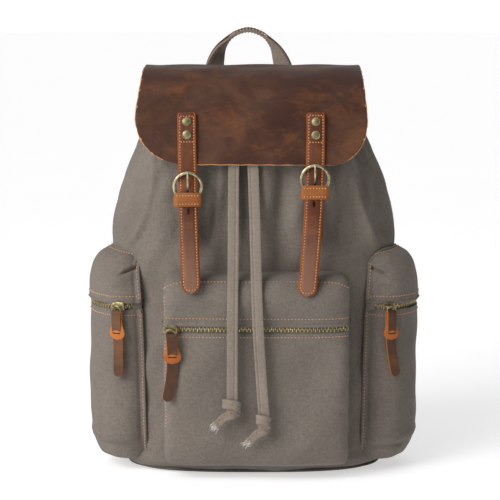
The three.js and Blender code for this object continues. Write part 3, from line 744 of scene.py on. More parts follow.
for side, _ in SIDES:
    path = curve(CORD_ROUTES[side], 150)
    shape = Shape()
    sideways = np.tile([1.0, 0.0, 0.0], (len(path), 1))
    seam = CORD_SEAM[side]
    tape(shape, path, sideways, CORD_WIDTH, CORD_THICK, seam, "canvas_tape", "cord_thread")
    string = piece(f"string_{side}", shape, "bag", [f"drawstring_{side}"])

    knot = Shape()
    wraps = KNOT_WRAPS[side]
    loop = curve(wraps["wrap"], 44)
    upright = np.tile([0.16, 0.0, 1.0], (len(loop), 1))
    tape(knot, loop, upright, 0.0098, KNOT_TAPE_THICK, 0.0, "canvas_tape")
    tail = curve(wraps["under"], 40)
    across = np.cross(tangents(tail), [0.0, -1.0, 0.0])
    narrow = np.interp(np.linspace(0, 1, 40), [0, 0.5, 1], [1.0, 0.86, 0.72])
    tape(knot, tail, across, 0.0105, KNOT_TAPE_THICK, 0.4, "canvas_tape", "cord_thread", narrow)
    # The doubled tape inside the knot, just below the cord's end.
    x, y, z = CORD_ROUTES[side][-1]
    knot.pebble((x, y, z - 0.007), (0.0068, 0.0030, 0.0062), "canvas_tape", power=2.6)
    frayed_end(knot, wraps["under"][-1], (-0.75, -0.12, -0.62), 0.42)
    knot_piece = piece(f"knot_{side}_tied", knot, "bag", [f"knot_{side}"])

# ---------------------------------------------------------------- main body

# Height, half width, front depth and back depth of the bag, in millimetres.
BODY = np.array([
    [0, 134, 66, 60], [8, 142, 74, 67], [40, 147, 78, 72], [120, 149, 78, 74],
    [200, 152, 77, 74], [262, 154, 76, 73], [290, 150, 75, 72], [320, 142, 73, 70],
    [350, 129, 70, 66], [385, 112, 63, 59], [418, 103, 56, 55],
]) * MM
BODY_POWER = 2.8
BACK_SEAM_Y = 0.042
BODY_TOP = 0.418
CANVAS_THICK = 0.0022
# A point on the inner side of the bag's walls.
INSIDE = (0, 0, 0.2)
# Outside, inside and edge of the cloth that shows its lining, and of a pocket's cloth, whose inside is the
# darkened canvas of painted shade.
LINED = ("canvas", "lining", "canvas")
POCKET_CLOTH = ("canvas", "canvas_dark", "canvas")
PATCH_LEATHER = ("flap_leather", "flesh_side", "raw_edge")

turn = np.linspace(math.pi / 2, math.pi / 2 - 2 * math.pi, 6001)
OUTLINE_X = bent(np.cos(turn), 2 / BODY_POWER)
OUTLINE_Y = bent(np.sin(turn), 2 / BODY_POWER)
OUTLINE_STEPS = np.hypot(np.diff(OUTLINE_X * 2), np.diff(OUTLINE_Y))
OUTLINE_S = np.concatenate([[0], np.cumsum(OUTLINE_STEPS)])
OUTLINE_S /= OUTLINE_S[-1]


def body_outline(s, z):
    """A point of the bag's outside; s goes from the back's middle round by +X."""
    half, front, back = np.moveaxis(smooth_table(BODY, z), -1, 0)
    x = np.interp(s % 1.0, OUTLINE_S, OUTLINE_X)
    y = np.interp(s % 1.0, OUTLINE_S, OUTLINE_Y)
    return np.stack([x * half, y * np.where(y < 0, front, back), z + 0 * x], axis=-1)


def body_front(x, z):
    """The depth y of the bag's front at a place across and up."""
    half, front, _ = np.moveaxis(smooth_table(BODY, z), -1, 0)
    inside = np.clip(1 - np.abs(x / half) ** BODY_POWER, 0, 1)
    return -front * inside ** (1 / BODY_POWER)


def body_back(x, z):
    """The depth y of the bag's back at a place across and up."""
    half, _, back = np.moveaxis(smooth_table(BODY, z), -1, 0)
    inside = np.clip(1 - np.abs(x / half) ** BODY_POWER, 0, 1)
    return back * inside ** (1 / BODY_POWER)


def from_rim(x, z, low, high):
    """How far inside an upright box's rim a place lies."""
    return np.minimum(np.minimum(x - low.x, high.x - x), np.minimum(z - low.z, high.z - z))


def beside(x, z, line):
    """Signed distance across a line of (z, x) points that runs up the bag."""
    at = smooth_table(np.array(line)[:, ::1], z)[..., 0]
    return x - at


# The corner folds, from under the flap down to the side pockets: height and distance across.
CORNER_FOLD = {
    -1: [
        (0.225, 0.146), (0.250, 0.137), (0.262, 0.129), (0.284, 0.1195), (0.302, 0.1145),
        (0.331, 0.109), (0.385, 0.100),
    ],
    1: [
        (0.225, 0.143), (0.246, 0.134), (0.263, 0.127), (0.282, 0.1205), (0.302, 0.1135),
        (0.331, 0.1065), (0.385, 0.098),
    ],
}
# How deep the cloth falls away outside each of those folds.
CORNER_TROUGH = {-1: 0.0060, 1: 0.0130}
# Soft hanging folds of the front: place across at the top and bottom, width, depth.
HANGING_FOLDS = [
    (-0.098, -0.104, 0.012, 0.0030), (-0.086, -0.078, 0.007, -0.0022),
    (-0.046, -0.052, 0.008, -0.0058), (-0.036, -0.040, 0.006, 0.0030),
    (-0.011, -0.010, 0.0055, -0.0060), (0.016, 0.014, 0.009, 0.0040),
    (0.031, 0.030, 0.008, -0.0058), (0.048, 0.045, 0.010, 0.0032),
    (0.078, 0.083, 0.009, -0.0068), (0.094, 0.099, 0.009, 0.0036),
]
GATHERS = 64


def body_folds(points, s):
    """How far the canvas stands out of its plain shape."""
    x, y, z = np.moveaxis(points, -1, 0)
    out = np.zeros_like(x)
    front = step(0.0, -0.03, y)
    for sign, line in CORNER_FOLD.items():
        off = beside(sign * x, z, line)
        tall = step(0.232, 0.262, z) * (1 - step(0.372, 0.395, z)) * front
        out += tall * 0.0048 * bell(off, -0.0025, 0.0058)
        trough = step(0.240, 0.268, z) * (1 - step(0.36, 0.40, z)) * step(-0.010, -0.036, y)
        dip = 0.55 * step(0.0, 0.0065, off) + 0.45 * step(0.002, 0.018, off)
        out -= trough * CORNER_TROUGH[sign] * dip
    hang = step(0.205, 0.300, z) * front
    for top, bottom, width, deep in HANGING_FOLDS:
        middle = bottom + (top - bottom) * step(0.20, 0.36, z)
        wander = 0.0025 * np.sin(z * 31 + top * 90)
        out += hang * deep * bell(x, middle + wander, width)
    gather = step(0.318, 0.392, z)
    round_bag = 2 * math.pi * s
    phase = GATHERS * round_bag + 1.3 * np.sin(round_bag * 7) + 0.8 * np.sin(z * 60)
    out += gather * 0.0030 * np.sin(phase) * (0.75 + 0.25 * np.sin(round_bag * 11))
    sag = 0.0016 * np.sin(z * 47 + 2 * np.sin(3 * round_bag)) * np.sin(7 * round_bag + 1.0)
    sag += 0.0009 * np.sin(z * 88 + 10 * round_bag) * np.sin(15 * round_bag + z * 30)
    out += sag * step(0.0, 0.05, z)
    out += 0.0012 * np.sin(x * 24 - z * 70 + 1.2) * np.sin(z * 35 + x * 60) * front
    # The creased band just above the base, where the cloth turns under.
    out += 0.0016 * bell(z, 0.013, 0.006) * (0.6 + 0.4 * np.sin(24 * round_bag))
    out -= 0.0013 * bell(z, 0.0235, 0.0045)
    return out


def body_surface(s_from, s_to, columns, heights):
    """The folded outside of the bag between two places round it; each may change with height."""
    z = np.asarray(heights)[:, None]
    t = np.linspace(0, 1, columns)[None]
    s = np.asarray(s_from).reshape(-1, 1) * (1 - t) + np.asarray(s_to).reshape(-1, 1) * t
    plain = body_outline(s, z + 0 * s)
    normals = grid_normals(plain)
    if np.sum(normals * (plain - np.array([0, 0, 0.2])), axis=-1).mean() < 0:
        normals = -normals
    return plain + normals * body_folds(plain, s)[..., None], normals


def seam_place(heights):
    """Where round the bag the back seam runs at each height."""
    back = smooth_table(BODY, heights)[..., 2]
    quarter = OUTLINE_S < 0.25
    at = OUTLINE_Y[quarter][::-1]
    return np.interp(BACK_SEAM_Y / back, at, OUTLINE_S[quarter][::-1])


heights = np.concatenate([np.linspace(0.0032, 0.03, 14), np.linspace(0.034, BODY_TOP, 190)])
seam_s = seam_place(heights)
front_skin, front_normals = body_surface(seam_s, 1 - seam_s, 420, heights)
front_shape = Shape()
front_shape.sheet(front_skin, CANVAS_THICK, *LINED, INSIDE)
# The side seams to the back, with their two rows of stitches.
for edge, inward in ((0, 3), (-1, -4)):
    rows = front_skin[4:-2, inward]
    front_shape.stitches(rows, front_normals[4:-2, inward], "canvas_thread", size=0.52 * MM)
piece("body_front", front_shape, "bag", ["front_panel"])

back_skin, back_normals = body_surface(seam_s, -seam_s, 170, heights)
# The quilting over the foam: soft pads between three sewn channels.
QUILT_SEAM_X = 0.045
x, _, z = np.moveaxis(back_skin, -1, 0)
pads = step(0.03, 0.06, z) * (1 - step(0.33, 0.345, z)) * (1 - step(0.095, 0.115, np.abs(x)))
channels = bell(x, 0, 0.006) + bell(x, -QUILT_SEAM_X, 0.004) + bell(x, QUILT_SEAM_X, 0.004)
quilting = pads * (0.0035 - 0.0042 * np.clip(channels, 0, 1))
back_skin = back_skin + back_normals * quilting[..., None]
# The gathers are pressed flat where the leather yoke is sewn over them.
low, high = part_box("yoke_patch")
x, y, z = np.moveaxis(back_skin, -1, 0)
under_yoke = (x > low.x) & (x < high.x) & (z > low.z) & (z < high.z)
back_skin[..., 1] = np.where(under_yoke, np.minimum(y, body_back(x, z) + 0.0012), y)
back_shape = Shape()
back_shape.sheet(back_skin, CANVAS_THICK, *LINED, INSIDE)
for x_seam in (-QUILT_SEAM_X, 0.0, QUILT_SEAM_X):
    column = int(np.argmin(np.abs(back_skin[80, :, 0] - x_seam)))
    back_shape.stitches(
        back_skin[22:150, column], back_normals[22:150, column], "canvas_thread", size=0.4 * MM
    )
piece("body_back", back_shape, "bag", ["back_panel"])

# The bottom, a shallow tray whose edge turns up to the piping of the sides; tray and piping are the
# darkened canvas of painted shade.
bottom_shape = Shape()
ring = np.linspace(0, 1, 181)[:-1]
# How far out each row of the tray lies, and how high.
TRAY_ROWS = [
    (0.001, 0.0), (0.35, 0.0), (0.7, 0.0), (0.93, 0.0), (0.985, 0.0006), (1.0, 0.0020), (1.012, 0.0036),
]
outline = body_outline(ring, np.full_like(ring, 0.001))
tray = np.array([
    np.column_stack([outline[:, :2] * scale, np.full(len(ring), lift)]) for scale, lift in TRAY_ROWS
])
bottom_shape.sheet(tray, 0.0018, *["canvas_dark"] * 3, INSIDE, closed=True)
around_base = body_outline(ring, np.full_like(ring, 0.0042))
bottom_shape.tube(around_base * [1.006, 1.008, 1.0], 0.0013, "canvas_dark", around=8, closed=True)
piece("body_bottom", bottom_shape, "bag", ["bottom_panel"])

# The drawstring casing: a folded hem stitched to the gathered mouth.
low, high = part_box("drawstring_casing")
casing_z = np.linspace(low.z, high.z, 26)
casing_s = np.linspace(0, 1, 361)[:-1]
s_grid, z_grid = np.meshgrid(casing_s, casing_z)
across_hem = (z_grid - low.z) / (high.z - low.z)
# The lower edge climbs towards the sides, where the flap's edges curve back over it.
place_x = np.abs(body_outline(s_grid, z_grid)[..., 0])
z_grid = z_grid + 0.013 * step(0.080, 0.112, place_x) * (1 - across_hem)
plain = body_outline(s_grid, z_grid)
outward = unit(plain * [1, 1, 0])
puff = 0.0016 * np.sqrt(np.clip(1 - (2 * across_hem - 1) ** 2, 0, 1)) + 0.0004
puff += 0.0010 * np.sin(2 * math.pi * GATHERS * s_grid + 1.3 * np.sin(2 * math.pi * s_grid * 7))
hem = plain + outward * puff[..., None]
# The hem stops short of the back, where the flap is sewn on.
hem = hem[:, (plain[..., 1] < 0.034).all(axis=0)]
casing_shape = Shape()
casing_shape.sheet(hem, 0.0018, *["canvas"] * 3, INSIDE)
for row in (2, -3):
    casing_shape.stitches(hem[row], unit(hem[row] * [1, 1, 0]), "canvas_thread", size=0.52 * MM)
piece("body_hem", casing_shape, "bag", ["drawstring_casing"])

for side, _ in SIDES:
    eyelet = Shape()
    angle = whole_turn(40)
    for radius, wire, ahead in ((0.0062, 0.0011, -0.0012), (0.0050, 0.0008, -0.0016)):
        circle = np.column_stack([np.cos(angle) * radius, 0 * angle + ahead, np.sin(angle) * radius])
        eyelet.tube(circle + middle_of(f"eyelet_{side}"), wire, "brass", around=10, closed=True)
    piece(f"eyelet_{side}_ring", eyelet, "bag", [f"eyelet_{side}"])

# The lining, a loose inner bag with its own small gathers, and the board and foam it hides.
lining_z = np.linspace(0.012, 0.412, 60)
lining_s = np.linspace(0, 1, 241)[:-1]
s_grid, z_grid = np.meshgrid(lining_s, lining_z)
plain = body_outline(s_grid, z_grid)
inward = -unit(plain * [1, 1, 0])
plain = plain - inward * (1.15 * np.minimum(body_folds(plain, s_grid), 0))[..., None]
slack = 0.0075 + 0.0012 * np.sin(2 * math.pi * 23 * s_grid + z_grid * 40)
slack += 0.0010 * np.sin(z_grid * 90 + s_grid * 2 * math.pi * 5)
foam_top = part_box("back_foam")[1].z
over_foam = step(0.010, 0.040, plain[..., 1])
over_foam *= 1 - step(foam_top + 0.004, foam_top + 0.030, z_grid)
slack += 0.0070 * over_foam
lining_skin = plain + inward * slack[..., None]
lining_shape = Shape()
lining_shape.sheet(lining_skin, 0.0007, *["lining"] * 3, INSIDE, closed=True)
piece("lining_bag", lining_shape, "bag", ["lining"])

board_shape = Shape()
low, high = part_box("base_board")
board_edge = body_outline(ring, np.full_like(ring, 0.006)) * [0.945, 0.91, 0]
board = np.array([board_edge * scale + [0, 0, high.z] for scale in (0.001, 0.3, 0.6, 0.85, 0.97, 1.0)])
board_shape.sheet(board, high.z - low.z, *["board"] * 3, (0, 0, -0.1), closed=True)
piece("board_sheet", board_shape, "bag", ["base_board"])
low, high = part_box("back_foam")
foam_x, foam_z = np.meshgrid(np.linspace(low.x, high.x, 40), np.linspace(low.z, high.z, 70))
foam_y = body_back(foam_x, foam_z) - 0.0050
foam_y = foam_y - 0.0016 * (1 - step(0, 0.010, from_rim(foam_x, foam_z, low, high)))
foam_shape = Shape()
foam_shape.sheet(np.stack([foam_x, foam_y, foam_z], axis=-1), 0.0055, *["foam"] * 3, INSIDE)
foam = piece("foam_pad", foam_shape, "bag", ["back_foam"])

# ---------------------------------------------------------------- front pocket

POCKET_LEFT, POCKET_RIGHT = -0.0965, 0.102
POCKET_ZIP = 0.168
ZIP_SLOT = 0.0053
POCKET_ROOT = -0.056
# The pocket's side view, from its foot to its top: depth and height, in millimetres.
POCKET_SIDE = np.array([
    [-60, 14.2], [-92, 14.6], [-103, 20], [-109.5, 34], [-112, 60], [-113.5, 100], [-113, 140],
    [-112, 160], [-111.8, 168], [-112.5, 176], [-115, 186], [-117.5, 196], [-117, 206],
    [-111, 216.5], [-98, 222.5], [-80, 224], [-58, 224],
]) * MM
POCKET_PUCKER = 2 * math.pi / 0.017
POCKET_CLOTH_THICK = 0.0018
# The pocket is widest at its middle height; above and below it narrows into rounded corners.
POCKET_MIDDLE_Z = 0.119
POCKET_HALF_TALL = 0.1055
POCKET_PLAN_POWER = 9.0


def pocket_surface(side_points, columns, puff=1.0):
    """The pocket's outside over some of its side view."""
    t = np.linspace(0, 1, columns)[None]
    middle, half = (POCKET_LEFT + POCKET_RIGHT) / 2, (POCKET_RIGHT - POCKET_LEFT) / 2
    z = side_points[:, 1][:, None]
    rise = np.clip(np.abs(z - POCKET_MIDDLE_Z) / POCKET_HALF_TALL, 0, 1)
    upper_corner, lower_corner = (1 - rise**20) ** (1 / 12), (1 - rise**34) ** (1 / 12)
    half = half * np.where(z > POCKET_MIDDLE_Z, upper_corner, lower_corner)
    angle = math.pi * (1 - t)
    u = bent(np.cos(angle), 2 / POCKET_PLAN_POWER)
    v = np.abs(np.sin(angle)) ** (2 / POCKET_PLAN_POWER)
    depth = side_points[:, 0][:, None] - POCKET_ROOT
    y = POCKET_ROOT + depth * v
    x = middle + half * u
    near_edge = bell(np.abs(u), 1.0, 0.10)
    belly = 0.0022 * np.sin(x * 33 + 0.6) * np.sin(z * 38 + 0.4)
    belly = belly + 0.0012 * np.sin(x * 71 - z * 52)
    pucker = 0.0007 * near_edge * np.sin(z * POCKET_PUCKER + 2 * np.sin(z * 30))
    y = y - (belly + pucker) * v**2 * puff
    x = x + near_edge * 0.0004 * np.sin(z * POCKET_PUCKER * 0.6 + 1.0) * np.sign(u)
    return np.stack([x, y, z + 0 * x], axis=-1)


def between_heights(points, low, high):
    """The points of a side view from one height to another; None is its own end."""
    if low is not None:
        points = points[points[:, 1] >= low]
    if high is not None:
        points = points[points[:, 1] <= high]
    return points


def side_rows(low, high, count):
    return evenly(between_heights(curve(POCKET_SIDE, 900), low, high), count)


def rim_rows(surface, row, offsets):
    """Extra rows that carry an edge inwards, each offset a move back and up."""
    edge = surface[row]
    return [edge + np.array([0, back, up]) for back, up in offsets]


# A point on the inner side of the pocket's cloth, and how each lip of its zip turns in.
BEHIND = (0.0, -0.05, 0.12)
LOWER_LIP = [(0.0006, 0.0007), (0.002, 0.0010), (0.007, 0.0009)]
UPPER_LIP = [(0.008, -0.0014), (0.0022, -0.0030), (-0.0006, -0.0034), (-0.0018, -0.0020)]
POCKET_COLUMNS = 260

lower = pocket_surface(side_rows(None, POCKET_ZIP - ZIP_SLOT, 120), POCKET_COLUMNS)
lower = np.concatenate([lower, rim_rows(lower, -1, LOWER_LIP)])
lower_shape = Shape()
lower_normals = lower_shape.sheet(lower, POCKET_CLOTH_THICK, *POCKET_CLOTH, BEHIND)
upper = pocket_surface(side_rows(POCKET_ZIP + ZIP_SLOT, None, 70), POCKET_COLUMNS)
upper = np.concatenate([rim_rows(upper, 0, UPPER_LIP), upper])
upper_shape = Shape()
upper_normals = upper_shape.sheet(upper, POCKET_CLOTH_THICK, *POCKET_CLOTH, BEHIND)


def along_row(shape, surface, normals, height, x_from, x_to):
    """Stitches across the pocket at one height, between two places across."""
    front = surface[:, POCKET_COLUMNS // 2, 2]
    row = int(np.argmin(np.abs(front - height)))
    keep = (surface[row, :, 0] >= x_from) & (surface[row, :, 0] <= x_to)
    shape.stitches(surface[row][keep], normals[row][keep], "canvas_thread")


def down_edge(shape, surface, normals, x, z_from, z_to):
    """Stitches up the pocket's left edge, between two heights."""
    front = surface[:, POCKET_COLUMNS // 2, 2]
    rows = (front >= z_from) & (front <= z_to)
    lowest = int(np.argmin(np.abs(front - z_from)))
    column = max(int(np.argmin(np.abs(surface[lowest, :, 0] - x))), 1)
    shape.stitches(surface[rows, column], normals[rows, column], "canvas_thread")


EDGE_SEAM_X = POCKET_LEFT + 0.0024
ROW_END_X = POCKET_RIGHT - 0.002
low_row, high_row = POCKET_ZIP - 0.0085, POCKET_ZIP + 0.0105
along_row(lower_shape, lower, lower_normals, low_row, POCKET_LEFT + 0.006, ROW_END_X)
along_row(upper_shape, upper, upper_normals, high_row, POCKET_LEFT + 0.003, ROW_END_X)
down_edge(lower_shape, lower, lower_normals, EDGE_SEAM_X, 0.058, POCKET_ZIP - 0.012)
down_edge(upper_shape, upper, upper_normals, EDGE_SEAM_X, POCKET_ZIP + 0.012, 0.2045)
# The top seam, which turns down at both corners of the pocket.
TOP_SEAM = 0.2182
top_row = int(np.argmin(np.abs(upper[:, POCKET_COLUMNS // 2, 2] - TOP_SEAM)))
top_line = []
for column in range(12, 248, 2):
    fall = 0.0125 * (abs(upper[top_row, column, 0] - 0.0028) / 0.0985) ** 14
    row = int(np.argmin(np.abs(upper[:, column, 2] - (TOP_SEAM - fall))))
    top_line.append((upper[row, column], upper_normals[row, column]))
top_points, top_normals = np.moveaxis(np.array(top_line), 1, 0)
top_points[:, 1:] = np.column_stack([
    np.convolve(np.pad(top_points[:, k], 4, mode="edge"), np.ones(9) / 9, "valid") for k in (1, 2)
])
top_points[:, 1] -= 0.0003
upper_shape.stitches(top_points, top_normals, "canvas_thread")
piece("front_pocket_body", lower_shape, "bag", ["front_pocket_lower"])
piece("front_pocket_top", upper_shape, "bag", ["front_pocket_upper"])

# ---------------------------------------------------------------- zips

TOOTH_PITCH = 0.0020
# Half a tooth along, out of and across the zip, and how far its row lies from the middle.
TOOTH = (0.00062, 0.0011, 0.0020)
TOOTH_ASIDE = 0.0010


def zip_chain(shape, line, outs, width=0.0135, depth=0.0007):
    """Two cloth tapes and two rows of interlocked teeth along a line."""
    along = tangents(line)
    ups = unit(np.cross(along, outs))
    ups = np.where(ups[:, 2:] < 0, -ups, ups)
    section = [(-1, -0.5), (1, -0.5), (1, 0.5), (0.12, 0.5), (0, -0.1), (-0.12, 0.5), (-1, 0.5)]
    shape.sweep(line, ups, outs, np.array(section) * [width / 2, depth], "zip_tape")
    count = int(length_of(line) / TOOTH_PITCH)
    steps = np.linspace(0, 1, len(line))
    for k in range(count):
        t = (k + 0.5) / count
        at, out, ahead = (
            np.array([np.interp(t, steps, column) for column in rows.T]) for rows in (line, outs, along)
        )
        out, ahead = unit(out), unit(ahead)
        up = unit(np.cross(out, ahead))
        up = -up if up[2] < 0 else up
        side = 1 if k % 2 else -1
        centre = at + out * (depth * 0.5 + 0.0004) + up * (TOOTH_ASIDE * side)
        turn = np.column_stack([ahead, out, up])
        shape.pebble(centre, TOOTH, "brass_teeth", turn, power=5, rows=6, around=8)


# The front zip follows the pocket's plan a little inside its cloth.
FRONT_ZIP_Y = -0.1102
chain = Shape()
course = pocket_surface(np.array([[FRONT_ZIP_Y, POCKET_ZIP], [FRONT_ZIP_Y, POCKET_ZIP + 0.001]]), 500)[0]
line = evenly(course[course[:, 1] < -0.1000], 160)
way = tangents(line)
zip_chain(chain, line, unit(np.column_stack([way[:, 1], -way[:, 0], 0 * way[:, 0]])))
# Canvas folded over the zip where it turns round the pocket's two sides.
tab_heights = np.linspace(-1, 1, 9) * (ZIP_SLOT + 0.0014) + POCKET_ZIP
wrap = pocket_surface(np.column_stack([np.full(9, -0.1119), tab_heights]), POCKET_COLUMNS)
wrap_x, wrap_y, _ = wrap[4].T
for part in (wrap_x < 0, wrap_x > 0):
    chain.sheet(wrap[:, part & (wrap_y > -0.1030)], 0.0016, *POCKET_CLOTH, BEHIND)
piece("front_zip_teeth", chain, "bag", ["front_zip_chain"])

# ---------------------------------------------------------------- side pockets

SIDE_CENTRE = (0.118, -0.015)
SIDE_SEAM_X = 0.117
SIDE_ZIP = 0.1854
SIDE_SLOT = 0.0047
# Radius and height of a side pocket, in millimetres.
SIDE_TABLE = np.array([
    [2, 12.2], [40, 12.3], [50, 14.5], [57, 24], [60.5, 40], [62, 70], [62.4, 120], [62, 165],
    [61.8, 185], [62, 200], [61, 216], [57.5, 229], [50, 238.5], [38, 243.6], [20, 245], [2, 245],
]) * MM
# The rows of that table from its widest shoulder to the top, to read a height from a radius.
DOME_TABLE = SIDE_TABLE[-7:][::-1]
SIDE_COLUMNS = 200
WALL_COLUMNS = 7


def side_hollow(turn):
    """How much the pocket is drawn in towards its front seam."""
    return 0.0150 * bell(turn, 0.0, 0.33)


def side_surface(sign, low, high, count):
    """A side pocket's outside: first its narrow wall by the bag, then round it to the back."""
    rows = evenly(between_heights(evenly(curve(SIDE_TABLE, 900), 900), low, high), count)
    radius, z = rows[:, 0][:, None], rows[:, 1][:, None]
    # The front seam leans outwards towards the top.
    lean = np.interp(z, [0.015, 0.120, 0.185, 0.240], [-0.030, 0.010, 0.050, 0.145])
    turn = lean + (math.pi * 0.98 - lean) * np.linspace(0, 1, SIDE_COLUMNS)[None]
    inward = turn - lean
    out = 0.0013 * bell(inward, 0.035, 0.030) * step(0.02, 0.05, z) * (1 - step(0.222, 0.236, z))
    out = out - side_hollow(turn)
    out = out - 0.0010 * bell(inward, 0.125, 0.035) * step(0.02, 0.05, z)
    # Slack, belly and soft dents of the cloth.
    out = out + 0.0014 * np.sin(turn * 3.4 + z * 22) * np.sin(z * 33 + 1.0 * sign)
    out = out + 0.0008 * np.sin(turn * 9 - z * 60) * np.sin(z * 71 + turn * 4)
    full = step(0.0, 0.30, turn)
    # The dart folded in near the top of the front.
    dart = 0.2195 + 0.0075 * (0.46 - turn) / 0.30
    reach = step(0.17, 0.21, turn) * (1 - step(0.40, 0.50, turn))
    out = out - 0.0046 * reach * bell(z, dart, 0.0016)
    out = out + 0.0022 * reach * bell(z, dart + 0.0046, 0.0034)
    out = out - 0.0026 * bell(turn, 0.40, 0.20) * bell(z, 0.204, 0.0075) * full
    out = out + 0.0016 * bell(turn, 0.78, 0.25) * bell(z, 0.214, 0.014)
    # The crease where the foot tucks under.
    tuck = step(0.10, 0.35, turn) * (1 - step(0.75, 1.1, turn))
    out = out - 0.0030 * bell(z, 0.0305, 0.0035) * tuck
    out = out + 0.0024 * bell(z, 0.038, 0.006) * step(0.05, 0.30, turn)
    # The mouth of the zip stands out a little over the teeth.
    out = out + 0.0009 * bell(z, SIDE_ZIP + SIDE_SLOT + 0.002, 0.003)
    r = radius + out * np.clip(radius / 0.05, 0, 1)
    x = SIDE_CENTRE[0] + r * np.sin(turn)
    y = SIDE_CENTRE[1] - r * np.cos(turn)
    round_part = np.stack([x, y, z + 0 * x], axis=-1)
    first = round_part[:, :1]
    behind = np.minimum(body_front(first[:, 0, 0], rows[:, 1]) + 0.003, 0)
    fade = np.linspace(1, 0, WALL_COLUMNS, endpoint=False)[None]
    wall_y = first[..., 1] + (behind[:, None] - first[..., 1]) * fade
    wall_x = first[..., 0] - 0.0007 * np.sin(fade * math.pi) + 0 * wall_y
    wall = np.stack([wall_x, wall_y, z + 0 * wall_y], axis=-1)
    surface = np.concatenate([wall, round_part], axis=1)
    return surface * [sign, 1, 1]


def carried_in(surface, row, sign, moves):
    """Extra rows that turn an edge in towards the pocket's middle."""
    edge = surface[row]
    middle = np.array([sign * SIDE_CENTRE[0], SIDE_CENTRE[1], 0])
    inward = unit((middle - edge) * [1, 1, 0])
    return np.array([edge + inward * deep + [0, 0, up] for deep, up in moves])


def side_column(shape, surface, normals, z_from, z_to):
    """Stitches beside a side pocket's front seam, between two heights."""
    column = WALL_COLUMNS + 3
    rows = (surface[:, column, 2] >= z_from) & (surface[:, column, 2] <= z_to)
    shape.stitches(surface[rows, column], normals[rows, column], "canvas_thread")


def side_row(shape, surface, normals, height):
    """Stitches round a side pocket at one height, from beside its seam nearly to the back."""
    row = int(np.argmin(np.abs(surface[:, WALL_COLUMNS + 40, 2] - height)))
    pick = slice(WALL_COLUMNS + 4, -12)
    shape.stitches(surface[row, pick], normals[row, pick], "canvas_thread")


def front_seam(surface, z_from, z_to):
    """Every sixth point up a side pocket's front seam, between two heights."""
    seam = surface[:, WALL_COLUMNS + 1]
    return seam[(seam[:, 2] > z_from) & (seam[:, 2] < z_to)][::6]


def on_dome(points, lift):
    """The points dropped onto the rounded top of a side pocket, and lifted off it."""
    reach = np.hypot(np.abs(points[:, 0]) - SIDE_CENTRE[0], points[:, 1] - SIDE_CENTRE[1])
    height = np.interp(reach, DOME_TABLE[:, 0], DOME_TABLE[:, 1])
    return np.column_stack([points[:, :2], height + lift])


def round_side(sign, turn, radius, z):
    """Points on a circle about a side pocket's middle."""
    outs = np.column_stack([sign * np.sin(turn), -np.cos(turn), 0 * turn])
    return outs * radius[:, None] + [sign * SIDE_CENTRE[0], SIDE_CENTRE[1], z], outs


SIDE_LOWER_LIP = [(0.0006, 0.0006), (0.002, 0.0009), (0.006, 0.0006)]
SIDE_UPPER_LIP = [(0.007, -0.0012), (0.0018, -0.0026), (-0.0004, -0.0030), (-0.0014, -0.0016)]
PIPING_RADIUS = 0.0014

for side, sign in SIDES:
    middle = (sign * SIDE_CENTRE[0], -0.010, 0.13)
    low_part = side_surface(sign, None, SIDE_ZIP - SIDE_SLOT, 120)
    low_part = np.concatenate([low_part, carried_in(low_part, -1, sign, SIDE_LOWER_LIP)])
    shape = Shape()
    normals = shape.sheet(low_part, POCKET_CLOTH_THICK, *POCKET_CLOTH, middle)
    side_column(shape, low_part, normals, 0.020, SIDE_ZIP - 0.006)
    piping = front_seam(low_part, 0.0145, SIDE_ZIP - SIDE_SLOT)
    shape.tube(curve(piping, 120), PIPING_RADIUS, "canvas", around=8)
    side_row(shape, low_part, normals, SIDE_ZIP - 0.0095)
    piece(f"{side}_pocket_body", shape, "bag", [f"{side}_pocket_lower"])

    top_part = side_surface(sign, SIDE_ZIP + SIDE_SLOT, None, 80)
    top_part = np.concatenate([carried_in(top_part, 0, sign, SIDE_UPPER_LIP), top_part])
    shape = Shape()
    normals = shape.sheet(top_part, POCKET_CLOTH_THICK, *POCKET_CLOTH, middle)
    side_column(shape, top_part, normals, SIDE_ZIP + 0.006, 0.232)
    side_row(shape, top_part, normals, SIDE_ZIP + 0.0100)
    # The top seam, and its piping, where the pocket's shoulder meets the bag.
    join_s = 0.5 - sign * np.linspace(0, 0.245, 400)
    join = body_outline(join_s, np.full_like(join_s, 0.238))
    join = join[(np.abs(join[:, 0]) > SIDE_SEAM_X + 0.0095)]
    away = unit(join * [0.55, 1.6, 0])
    shape.stitches(on_dome(join + away * 0.0050, 0.0006), (0, -0.35, 0.94), "canvas_thread")
    over_top = on_dome(join + away * 0.0016, 0.0004)[24::30]
    piping = np.concatenate([front_seam(top_part, SIDE_ZIP - 0.001, 0.2340), over_top])
    shape.tube(curve(piping, 120), PIPING_RADIUS, "canvas", around=8)
    piece(f"{side}_pocket_top", shape, "bag", [f"{side}_pocket_upper"])

    turn = np.linspace(0.14, math.pi * 0.93, 120)
    line, outs = round_side(sign, turn, 0.0596 - side_hollow(turn), SIDE_ZIP)
    chain = Shape()
    zip_chain(chain, line, outs, width=0.012)
    # The cloth tab that covers the end of the chain.
    turn = np.linspace(0.062, 0.235, 10)
    tab = np.array([
        round_side(
            sign, turn, 0.0626 + 0.0003 * math.cos(h * math.pi) - side_hollow(turn), SIDE_ZIP + 0.0052 * h
        )[0]
        for h in np.linspace(-1, 1, 12)
    ])
    chain.sheet(tab, 0.0012, *["canvas"] * 3, (sign * SIDE_CENTRE[0], SIDE_CENTRE[1], SIDE_ZIP))
    piece(f"{side}_zip_teeth", chain, "bag", [f"{side}_zip_chain"])

# ---------------------------------------------------------------- sliders and pulls

PULL_LONG = 0.072
PULL_WIDE = 0.0118
# How far the leather hangs below the middle of its slider.
PULL_DROP = 0.0052


